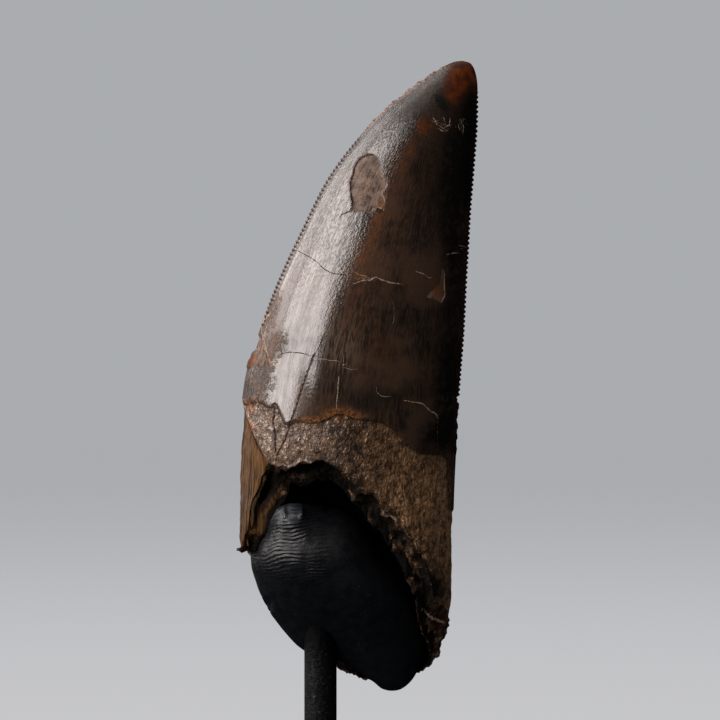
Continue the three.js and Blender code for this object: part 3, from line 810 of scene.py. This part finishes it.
# %% [markdown]
# ## Colours of the fossil
# Enamel is brown-black with paler streaks, amber at the tip and rusty along its lower rim. Dentine
# is grey-brown and the broken wall brown, with its crevices painted dark as painted shade. Both
# are painted lighter on their cobbles' crests and darker between them, a painted highlight and
# painted shade, and the dentine is painted lighter towards the left, where the light falls. An
# image could hold all this, but washes of colour over a dark ground need no file and stay sharp
# close up. Each wash is laid where a mask of noise, stains or distances lets it through.

# %% Colour of the enamel
brown = blend(ramp(blotch, 0.40, 0.62), colour(0.0085, 0.0050, 0.0038), colour(0.037, 0.0190, 0.0115))
brown = washed(brown, ramp(streak, 0.42, 0.66, 0.0, 0.25), 0.034, 0.018, 0.009)
brown = washed(brown, ramp(mottle, 0.45, 0.70, 0.0, 0.35), 0.038, 0.022, 0.012)
brown = washed(brown, ramp(fine_streak, 0.46, 0.62, 0.0, 0.5), 0.042, 0.024, 0.012)
# Tan streaks right of the long crack: partly tan colour, partly painted sheen.
tan_and_painted_sheen_streaks = product(kept("tan"), ramp(fine_streak, 0.42, 0.58), 0.6)
brown = washed(brown, tan_and_painted_sheen_streaks, 0.125, 0.088, 0.060)
warm_here = product(warm, ramp(fine_streak, 0.40, 0.62, 0.6, 1.2), ramp(mottle, 0.35, 0.62, 0.45, 1.2))
brown = washed(brown, ramp(warm_here, 0.1, 1.5, 0.0, 0.9), 0.050, 0.0195, 0.0080)

# %% Amber, rust and flakes
amber = blend(ramp(mottle, 0.34, 0.66), colour(0.050, 0.0100, 0.0006), colour(0.200, 0.036, 0.0012))
amber_share = product(ramp(wobbled(warm, 2.4), 0.9, 2.5), ramp(z_mm, 128, 138, 0.15, 1.0))
rust = blend(ramp(pebble, 0.4, 0.6), colour(0.042, 0.017, 0.006), colour(0.138, 0.056, 0.018))
rim = product(ramp(wobbled(kept("enamel"), 1.8), 0.1, 1.5, 1.0, 0.0), ramp(warm, 0.1, 0.8, 0.10, 1.0))
enamel_tone = blend(rim, blend(amber_share, brown, amber), rust)
enamel_tone = washed(enamel_tone, ramp(z_mm, 122, 138, 0.0, 0.60), 0.0, 0.0, 0.0)

flake_tone = blend(ramp(mottle, 0.40, 0.60), colour(0.028, 0.017, 0.012), colour(0.10, 0.066, 0.048))
flake_tone = washed(flake_tone, ramp(wood, 0.42, 0.62, 0.0, 0.4), 0.13, 0.098, 0.080)
flake_tone = washed(flake_tone, ramp(warm, 0.5, 1.5), 0.10, 0.033, 0.009)
enamel_tone = blend(in_flake, enamel_tone, flake_tone)

# %% Colour of the dentine
# The dentine is painted lighter on its cobbles' crests and darker between them: painted highlight and painted
# shade.
painted_highlight_on_cobbles = product(ramp(cobble, 0.20, 0.42, 0.6, 0.0), ramp(mottle, 0.42, 0.60))
painted_shade_between_cobbles = product(ramp(cobble, 0.40, 0.60), ramp(mottle, 0.40, 0.60, 0.75, 0.35))
rear_brown = blend(mottle, colour(0.055, 0.026, 0.0105), colour(0.19, 0.096, 0.041))
rear_streaks = product(ramp(x_mm, 4, 15), ramp(fine_streak, 0.46, 0.62, 0.0, 0.7))
dentine_tone = blend(ramp(mottle, 0.36, 0.66), colour(0.026, 0.0142, 0.0074), colour(0.096, 0.052, 0.026))
dentine_tone = blend(ramp(x_mm, 2, 17, 0.0, 0.75), dentine_tone, rear_brown)
# Painted light: the dentine is painted lighter towards the left, where the light falls on it.
dentine_tone = washed(dentine_tone, ramp(x_mm, -2, 5, 0.6, 0.0), 0.150, 0.100, 0.069)
dentine_tone = washed(dentine_tone, rear_streaks, 0.23, 0.118, 0.052)
dentine_tone = washed(dentine_tone, painted_highlight_on_cobbles, 0.21, 0.130, 0.076)
dentine_tone = washed(dentine_tone, ramp(warm_here, 0.3, 1.2), 0.12, 0.040, 0.010)
dentine_tone = washed(dentine_tone, painted_shade_between_cobbles, 0.008, 0.005, 0.0035)

# %% Colour of the strip and the broken wall
strip_tone = blend(ramp(wood, 0.38, 0.62), colour(0.012, 0.0056, 0.0024), colour(0.074, 0.036, 0.012))
# The broken wall is painted lighter on its cobbles' crests and darker between them: painted highlight and
# painted shade.
painted_highlight_on_wall_cobbles = product(ramp(cobble, 0.20, 0.40, 0.6, 0.0), ramp(mottle, 0.42, 0.60))
broken_tone = blend(ramp(mottle, 0.40, 0.66), colour(0.026, 0.0140, 0.0078), colour(0.185, 0.100, 0.052))
broken_tone = washed(broken_tone, painted_highlight_on_wall_cobbles, 0.24, 0.140, 0.078)
broken_tone = washed(broken_tone, ramp(cobble, 0.40, 0.60, 0.0, 0.7), 0.006, 0.004, 0.003)
broken_tone = washed(broken_tone, ramp(warm, 0.4, 1.2), 0.05, 0.014, 0.006)

# %% Regions, dirt and painted shade, scuffs and lines, one over the other
tone = blend(on_enamel, blend(on_strip, dentine_tone, strip_tone), enamel_tone)
# The cavity's inside is painted near black: painted shade.
tone = blend(broken, tone, blend(in_cavity, broken_tone, colour(0.003, 0.0025, 0.002)))
# The dark channel is sooty stain on the crown and painted shade in the break. Here it washes the tone towards
# black.
soot_and_painted_shade = product(dark, ramp(mottle, 0.32, 0.66, 0.72, 1.22))
tone = washed(tone, ramp(soot_and_painted_shade, 0.05, 1.3, 0.0, 0.96), 0.003, 0.0027, 0.0018)
tone = washed(tone, product(kept("keel"), 0.8), 0.040, 0.017, 0.011)
tone = washed(tone, ramp(kept("notch"), 0.10, 0.5), 0.012, 0.0040, 0.0025)
tone = washed(tone, product(kept("crust"), ramp(grit, 0.45, 0.6)), 0.22, 0.15, 0.115)
scuffed = product(ramp(worn, 0.25, 0.9), ramp(grain(at_mm, 1.4, 5, 0.65), 0.48, 0.62))
tone = washed(tone, product(scuffed, on_enamel, 0.7), 0.105, 0.068, 0.049)
# Painted shade: a dark band on the dentine just under the enamel's edge.
painted_shade_under_enamel = product(ramp(kept("enamel"), -0.35, -0.05), less(on_enamel))
tone = washed(tone, product(painted_shade_under_enamel, 0.7), 0.010, 0.005, 0.003)
# Dark lines, with one painted shadow line, and pale lines, with painted highlights on lit rims.
tone = washed(tone, dark_lines, 0.016, 0.005, 0.002)
tone = washed(tone, product(pale_lines, 0.85), 0.25, 0.165, 0.105)
print("colour takes", len(tree.nodes), "nodes")

# %% [markdown]
# ## Fine height
# Striations, wrinkles, cobbles and cracks are finer than the mesh. Displacing them would need
# millions of faces. A bump only bends the normals, and at this size the eye sees no difference.
# The enamel's edge is bumped as well, exactly where its colour ends.

# %% Height
ENAMEL_THICKNESS = 0.26
wrinkles = product(wrinkle, level(wrinkled, 0.018, 0.070))
flake_floor = product(in_flake, total(-0.05, product(pebble, 0.07)))
enamel_height = total(product(fine_streak, 0.012), wrinkles, product(scuffed, 0.06), flake_floor)
cobble_relief = product(cobble, ramp(mottle, 0.35, 0.65, -0.18, -0.34))
dentine_height = total(cobble_relief, product(pebble, 0.16), product(mottle, 0.30), product(grit, 0.03))
broken_height = total(product(mottle, 0.45), product(pebble, 0.22), product(cobble, -0.25))
lower = level(broken, level(on_strip, dentine_height, product(wood, 0.20)), broken_height)
height = level(on_enamel, lower, total(enamel_height, ENAMEL_THICKNESS))
height = total(height, product(dark_lines, -0.09), product(pale_lines, 0.03))
bumped = bump(height)

# %% [markdown]
# ## Polish
# The enamel still has its natural polish, and the dentine and the breaks have little or none. The
# roughness alone could vary, but a polished coat over a dull base shows this better, because a
# coat can be thin without getting blurred. It is full on the enamel, thin and patchy on the
# dentine, and gone from flakes, scratches and the broken wall.

# %% Polish and dullness
satin = level(wrinkled, 1.0, ramp(wrinkle, 0.40, 0.56, 0.62, 1.08))
satin = product(satin, ramp(fine_streak, 0.38, 0.58, 0.84, 1.0), ramp(mottle, 0.3, 0.6, 0.82, 1.02))
satin = product(satin, ramp(streak, 0.36, 0.58, 0.78, 1.03), ramp(kept("flake"), -0.5, 0.0, 1.0, 0.3))
satin = product(satin, ramp(warm, 0.6, 1.6, 1.0, 0.08))
satin = product(satin, level(kept("brushed"), 1.0, ramp(fine_streak, 0.40, 0.56, 0.25, 0.72)))
sheen = product(ramp(cobble, 0.20, 0.50, 0.9, 0.16), ramp(pebble, 0.38, 0.58, 0.6, 1.0))
polish = level(on_enamel, product(sheen, ramp(x_mm, 0, 9, 1.4, 0.70)), satin)
worn_dull = maths("MAXIMUM", product(in_flake, 0.85), product(scuffed, 0.9))
polish = product(polish, less(maths("MAXIMUM", broken, worn_dull)), less(product(kept("keel"), 0.88)))
polish = product(polish, ramp(kept("notch"), 0.1, 0.6, 1.0, 0.05), less(product(on_strip, less(on_enamel))))
polish = product(polish, less(pale_lines), less(product(dark_lines, 0.8)))
polish = product(polish, ramp(worn, 0.1, 1.3, 1.0, 0.30), ramp(soot_and_painted_shade, 0.2, 1.2, 1.0, 0.5))
roughness = level(broken, ramp(mottle, 0.3, 0.7, 0.50, 0.68), 0.9)
set_shader(shader, Base_Color=tone, Roughness=roughness, Normal=bumped, Coat_Normal=bumped,
           Coat_Weight=polish, Coat_IOR=1.7, Coat_Roughness=0.145, Specular_IOR_Level=0.06)
tooth.data.materials.append(fossil)
print("fossil nodes:", len(tree.nodes))

# %% [markdown]
# ## The putty cradle
# The putty was pressed into the root by hand and smoothed over the rod. It could be sculpted, but
# its outline has to fill the broken root, so it is an inflated outline: a rim curve, a bulge
# towards each face, and a knob at the upper left that is pushed out towards the front.

# %% Shape the cradle
RIM = [  # x and z in millimetres, once round the putty
    (-10.2, 74.6), (-9.7, 71.0), (-7.3, 65.6), (-2.4, 60.2), (3.0, 58.5), (7.4, 55.9), (9.4, 54.4),
    (12.0, 54.5), (14.3, 57.2), (15.2, 63.0), (13.0, 68.4), (9.1, 73.8), (4.4, 80.0), (-1.6, 81.9),
    (-6.5, 81.6), (-9.1, 77.9),
]
CREST, RIM_PLANE, FRONT, BACK = (1.6, 71.5), 1.2, 10.0, 6.4  # the middle, its y, and the two bulges
KNOB, KNOB_SIZE, KNOB_PUSH = (-5.0, 82.2), (4.2, 3.2), 5.5  # where the putty is pushed out towards the front
cradle_clay = ball(300, 300)
turn, drop = turn_and_drop(cradle_clay)
front_half = drop < 0.5
size = np.sin(math.pi * drop)
x, z = (np.array(CREST) + (along_curve(RIM, turn, closed=True) - CREST) * size[:, None]).T
rise = np.maximum(0, 1 - size**2.8) ** 0.52
filled = 0.12 + 0.88 * ease(z + 0.35 * x, 56, 76)
bulge = np.where(front_half, -FRONT * filled * rise, BACK * rise)
bulge -= KNOB_PUSH * spot(x, z, *KNOB, *KNOB_SIZE) * rise**0.4 * front_half
putty_skin = np.column_stack([x, RIM_PLANE + bulge, z])
mould(cradle_clay, putty_skin)
bmesh.ops.recalc_face_normals(cradle_clay, faces=cradle_clay.faces)
cradle_clay.normal_update()
volume = cradle_clay.calc_volume(signed=True)
print("putty volume", round(volume / 1000, 2), "cm3, more than 0 because its normals point outward")

# %% [markdown]
# ## Finger marks
# Fingertips have left fine ripples at the upper left and pressed knobs at the top. A bump could
# draw the ripples, but their flanks catch the light from the side, so they are real relief. Each
# mark is a depth that is pressed inwards along the normals, which is why the normals were turned
# outward first. Small ridges stay raised between the knobs.

# %% Finger marks
RIPPLE_PITCH, RIPPLE_CENTRE, RIPPLE_DEPTH = 0.54, (0.7, 44.0), 0.13
LUMP_MARKS = [  # x, z, half-width, half-height, and the depth, which is under 0 where it stands out
    (-6.3, 80.4, 1.5, 1.2, 0.25), (-3.9, 80.6, 1.3, 1.2, 0.25), (-5.1, 80.8, 0.26, 1.1, -0.45),
    (-2.7, 80.8, 0.26, 1.1, -0.5), (13.4, 57.5, 0.8, 0.8, 0.25), (-8.0, 66.8, 1.4, 1.5, 0.3),
    (1.2, 81.0, 0.8, 0.6, 0.3),
]
KNOB_SMEARS = (-6.3, 80.8, 1.4, 1.1), (-3.9, 80.9, 1.1, 1.1)  # as the marks, without a depth
RIDGES = (-5.1, 0.22), (-2.7, 0.25)  # x and half-width of the ridges that stay between the knobs
x, y, z = putty_skin.T
in_front = ease(-y, -2.0, 1.0)
dx, dz = x - RIPPLE_CENTRE[0], z - RIPPLE_CENTRE[1]
arc = np.hypot(dx, dz) + 0.45 * rough(putty_skin, 0.28, 11) + 0.17 * rough(putty_skin, 0.9, 15)
around = np.arctan2(dx, dz) * 32
ripple = np.abs(np.sin(arc * math.pi / RIPPLE_PITCH)) - 0.6
rippled = np.exp(-(((x + 4.4) / 5.2) ** 4) - ((z - 77.0) / 5.6) ** 4) * in_front
rippled *= np.clip(0.7 + 1.3 * rough(putty_skin, 0.5, 16), 0, 1.4)
smeared = sum(spot(x, z, *smear) for smear in KNOB_SMEARS)
smeared *= 1 - sum(np.exp(-(((x - middle) / wide) ** 2)) for middle, wide in RIDGES)
marks = RIPPLE_DEPTH * ripple * rippled * (1 - 0.7 * smeared)
marks += 0.25 * rough(putty_skin, 0.14, 12) + 0.05 * rough(putty_skin, 0.7, 13)
for x0, z0, wide, tall, depth in LUMP_MARKS:
    marks += depth * np.maximum(0, 1 - ((x - x0) / wide) ** 2 - ((z - z0) / tall) ** 2) * in_front
marks += 0.9 * np.abs(rough(putty_skin, 1.6, 14)) * spot(x, z, -8.0, 66.8, 1.0, 1.2)
press(cradle_clay, -marks)
print("marks from", marks.min().round(2), "to", marks.max().round(2), "mm deep")
cradle = to_object(cradle_clay, "putty_cradle", {
    "drag": np.column_stack([arc, around, y]), "rippled": rippled, "smeared": smeared * in_front,
})
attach(cradle, "root")
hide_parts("cradle")

# %% [markdown]
# ## The putty's finish
# Handled putty is smooth and a little glossy, and fresh putty is dull. One coat does this: its
# weight rises towards the handled top and the smears. The knobs are also painted a paler grey, a
# painted highlight. The dragged grain follows the ripples, because its coordinates were kept when
# the ripples were made.

# %% Putty finish
putty, tree, shader = new_finish("black_putty")
at_mm, smeared_here = place_in_mm(), kept("smeared")
soft = grain(at_mm, 0.7, 5)
dragged = grain(stretched(kept("drag", "Vector"), (1, 0.22, 0.22)), 2.6, 5)
dimple = grain(at_mm, 2.2, 4, 0.6)
speck = ramp(grain(at_mm, 4.0, 1), 0.765, 0.80)
# The knobs are painted a paler grey: a painted highlight.
painted_knob_highlight = product(smeared_here, ramp(dragged, 0.40, 0.60, 0.15, 0.85))
tone = blend(soft, colour(0.0014, 0.0018, 0.0024), colour(0.0036, 0.0042, 0.0052))
tone = washed(washed(tone, painted_knob_highlight, 0.062, 0.069, 0.075), speck, 0.06, 0.055, 0.05)
roughness = level(smeared_here, ramp(soft, 0.3, 0.7, 0.40, 0.56), 0.30)
skin_bump = bump(total(product(dragged, level(kept("rippled"), 0.05, 0.20)), product(dimple, 0.045)))
height_up = add("ShaderNodeSeparateXYZ", Vector=at_mm).outputs[2]
handled = product(ramp(height_up, 68, 78, 0.02, 0.62), ramp(soft, 0.35, 0.6, 0.6, 1.0))
gloss = maths("MAXIMUM", handled, smeared_here)
set_shader(shader, Base_Color=tone, Roughness=roughness, Normal=skin_bump, Coat_Normal=skin_bump,
           Coat_Weight=gloss, Coat_Roughness=0.38, Specular_IOR_Level=0.08)
cradle.data.materials.append(putty)
print("putty nodes:", len(tree.nodes))

# %% [markdown]
# ## The rod and the base
# The rod is a plain steel rod, and the base is a turned disc. Blender has a ready cylinder, but
# a circle that is extruded upwards and bevelled takes the same few steps and gives clean rims, and
# one function makes both, in the sizes that the frame gives. The rod's ends run a little way into
# the base and the putty, where nobody sees them.

# %% Shape the rod
def turned_bar(name, node, chamfer, sides):
    """An upright round bar with bevelled ends, as wide and as tall as a node of the frame."""
    low, high = (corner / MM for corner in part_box(node))
    radius, bottom, top = high.x, low.z, high.z
    clay = bmesh.new()
    bmesh.ops.create_circle(clay, cap_ends=True, segments=sides, radius=radius)
    bmesh.ops.translate(clay, vec=(0, 0, bottom), verts=clay.verts)
    bmesh.ops.reverse_faces(clay, faces=clay.faces)
    lid = bmesh.ops.extrude_face_region(clay, geom=clay.faces[:], use_keep_orig=True)
    lid_verts = [item for item in lid["geom"] if isinstance(item, bmesh.types.BMVert)]
    bmesh.ops.translate(clay, vec=(0, 0, top - bottom), verts=lid_verts)
    bmesh.ops.recalc_face_normals(clay, faces=clay.faces)
    rims = [edge for edge in clay.edges if abs(edge.verts[0].co.z - edge.verts[1].co.z) < 1e-6]
    bmesh.ops.bevel(clay, geom=rims, offset=chamfer, offset_type="OFFSET", affect="EDGES",
                    segments=3, profile=0.5, material=-1)
    return to_object(clay, name)


rod = turned_bar("steel_rod", "rod", chamfer=0.4, sides=64)
base = turned_bar("round_base", "base", chamfer=1.2, sides=160)
for piece, node_name, slot_name in ((rod, "rod", "rod_paint"), (base, "base", "base_paint")):
    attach(piece, "root")
    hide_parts(node_name)

# %% [markdown]
# ## Black paint
# The paint on the rod is almost black, slightly bumpy and hardly glossy, and it is darker and less
# glossy towards its top, where the rod runs into the putty. A single grey would look flat, so the
# paint's orange peel drives the tone, the bump and the thin gloss together.

# %% Black paint
PEEL_DEPTH = 0.25 * MM
paint, tree, shader = new_finish("black_paint")
at_mm = place_in_mm()
orange_peel = grain(at_mm, 1.6, 4, 0.6)
grit = ramp(grain(at_mm, 3.0, 1), 0.66, 0.72)
height_up = add("ShaderNodeSeparateXYZ", Vector=at_mm).outputs[2]
# The paint is darker and less glossy towards the rod's top, where it runs into the putty.
darker_and_duller_at_top = ramp(height_up, 56, 63)
tone = blend(orange_peel, colour(0.0014, 0.0015, 0.0016), colour(0.0038, 0.0040, 0.0042))
tone = washed(washed(tone, grit, 0.03, 0.03, 0.03), darker_and_duller_at_top, 0.0005, 0.0006, 0.0007)
rough_skin = bump(orange_peel, PEEL_DEPTH)
thin_gloss = product(ramp(orange_peel, 0.42, 0.60, 0.01, 0.085), less(darker_and_duller_at_top))
set_shader(shader, Base_Color=tone, Roughness=ramp(orange_peel, 0.3, 0.7, 0.55, 0.75), Normal=rough_skin,
           Coat_Normal=rough_skin, Coat_Weight=thin_gloss, Coat_Roughness=0.28, Specular_IOR_Level=0.025)
rod.data.materials.append(paint)
base.data.materials.append(paint)
print("paint nodes:", len(tree.nodes))

# %% [markdown]
# ## The studio
# A large soft box stands to the left and gives the crown its long pale highlight. A panorama on
# the world would light the tooth too, but area lights need no file and can be placed one by one.
# The boxes at the sides are linked to spare the floor, so that it stays even and pale.

# %% The floor
FLOOR_TONE, FLOOR_GLOW, WARM_WHITE = (0.44, 0.44, 0.445), 0.30, (1.0, 0.93, 0.905)
spared = bpy.data.collections.new("spared by the boxes")


def sweep(radius, cove, wall_height):
    """A round pale floor that curves up into a low wall, so that no horizon shows from any side."""
    clay = bmesh.new()
    middle = clay.verts.new((0, 0, 0))
    edge = clay.verts.new((radius, 0, 0))
    clay.edges.new((middle, edge))
    bend = bmesh.ops.spin(clay, geom=[edge], cent=(radius, 0, cove), axis=(0, -1, 0),
                          angle=math.pi / 2, steps=16)
    top = [item for item in bend["geom_last"] if isinstance(item, bmesh.types.BMVert)]
    rise = bmesh.ops.extrude_vert_indiv(clay, verts=top)
    bmesh.ops.translate(clay, vec=(0, 0, wall_height), verts=rise["verts"])
    bmesh.ops.spin(clay, geom=clay.verts[:] + clay.edges[:], cent=(0, 0, 0), axis=(0, 0, 1),
                   angle=math.tau, steps=96, use_merge=True)
    bmesh.ops.remove_doubles(clay, verts=clay.verts, dist=1e-5)
    bmesh.ops.recalc_face_normals(clay, faces=clay.faces)
    if clay.faces[0].normal.z < 0:
        bmesh.ops.reverse_faces(clay, faces=clay.faces)
    mesh = bpy.data.meshes.new("floor")
    clay.to_mesh(mesh)
    clay.free()
    mesh.shade_smooth()
    floor = bpy.data.objects.new("floor", mesh)
    bpy.context.scene.collection.objects.link(floor)
    finish, _, shader = new_finish("pale_floor")
    set_shader(shader, Base_Color=colour(*FLOOR_TONE), Roughness=0.9, Specular_IOR_Level=0.1,
               Emission_Color=colour(0.98, 0.99, 1.0), Emission_Strength=FLOOR_GLOW)
    mesh.materials.append(finish)
    floor.visible_glossy = floor.visible_diffuse = False
    spared.objects.link(floor)
    spared.collection_objects[0].light_linking.link_state = "EXCLUDE"
    print("floor spans", round(floor.dimensions.x, 2), "m and rises", round(floor.dimensions.z, 2), "m")


sweep(radius=3.2, cove=1.6, wall_height=1.2)

# %% Soft boxes
def soft_box(name, azimuth, distance, bottom, width, height, radiance, tip=0, on_floor=False, in_gloss=True):
    """A soft box round the tooth, tipped down by degrees; azimuth counts to the left from the camera."""
    turn, lean = math.radians(azimuth), math.radians(tip)
    away = Vector((-math.sin(turn), -math.cos(turn), 0))
    data = bpy.data.lights.new(name, "AREA")
    data.shape, data.size, data.size_y, data.color = "RECTANGLE", width, height, WARM_WHITE
    data.energy = radiance * math.pi * width * height
    lamp = bpy.data.objects.new(name, data)
    lamp.location = away * distance + Vector((0, 0, bottom + height / 2 * math.cos(lean)))
    shines = -away * math.cos(lean) - Vector((0, 0, math.sin(lean)))
    lamp.rotation_euler = shines.to_track_quat("-Z", "Y").to_euler()
    lamp.visible_camera, lamp.visible_glossy = False, in_gloss
    if not on_floor:
        lamp.light_linking.receiver_collection = spared
    bpy.context.scene.collection.objects.link(lamp)
    print(name, "gives", round(data.energy), "W")

# %% Seven boxes and a faint sky
soft_box("key", 57.5, 1.0, 0.27, 1.25, 1.2, 8.4)
soft_box("low key", 68, 1.0, 0.07, 0.82, 0.20, 8.4)
soft_box("side", 116, 1.0, 0.17, 1.4, 1.05, 4.0)
soft_box("top", 80, 0.5, 1.1, 1.1, 0.75, 1.1, tip=60, on_floor=True)
soft_box("top back", 180, 0.5, 1.1, 1.0, 0.5, 3.0, tip=60, on_floor=True)
soft_box("top right", -90, 0.5, 1.1, 1.0, 0.5, 0.7, tip=60, on_floor=True)
soft_box("rear right", -130, 1.0, 0.10, 1.1, 1.0, 1.4, in_gloss=False)
SKY_TONE, SKY_GLOW = (0.8, 0.88, 1.0), 0.30
world = bpy.data.worlds.new("studio")
bpy.context.scene.world = world
world.use_nodes = True
world.cycles_visibility.glossy = False
sky = world.node_tree.nodes["Background"]
sky.inputs["Color"].default_value, sky.inputs["Strength"].default_value = colour(*SKY_TONE), SKY_GLOW

# %% [markdown]
# ## The camera
# The tooth is seen level and from near by with a long lens. Its distance sets the perspective and
# its focal length sets how much is in view, so the lens follows from the width to be shown.

# %% Camera
AIM, ACROSS, CAMERA_DISTANCE = Vector((5.81 * MM, 0, 102.94 * MM)), 105.9 * MM, 0.5
SENSOR = 36  # millimetres, as Blender's cameras count it
camera_data = bpy.data.cameras.new("camera")
camera_data.sensor_width, camera_data.lens = SENSOR, SENSOR * CAMERA_DISTANCE / ACROSS
camera = bpy.data.objects.new("camera", camera_data)
camera.location = AIM + Vector((0, -CAMERA_DISTANCE, 0))
camera.rotation_euler = (math.radians(90), 0, 0)
bpy.context.scene.collection.objects.link(camera)
bpy.context.scene.camera = camera
bpy.context.scene.view_settings.view_transform = "Standard"
print("lens:", round(camera_data.lens), "mm")
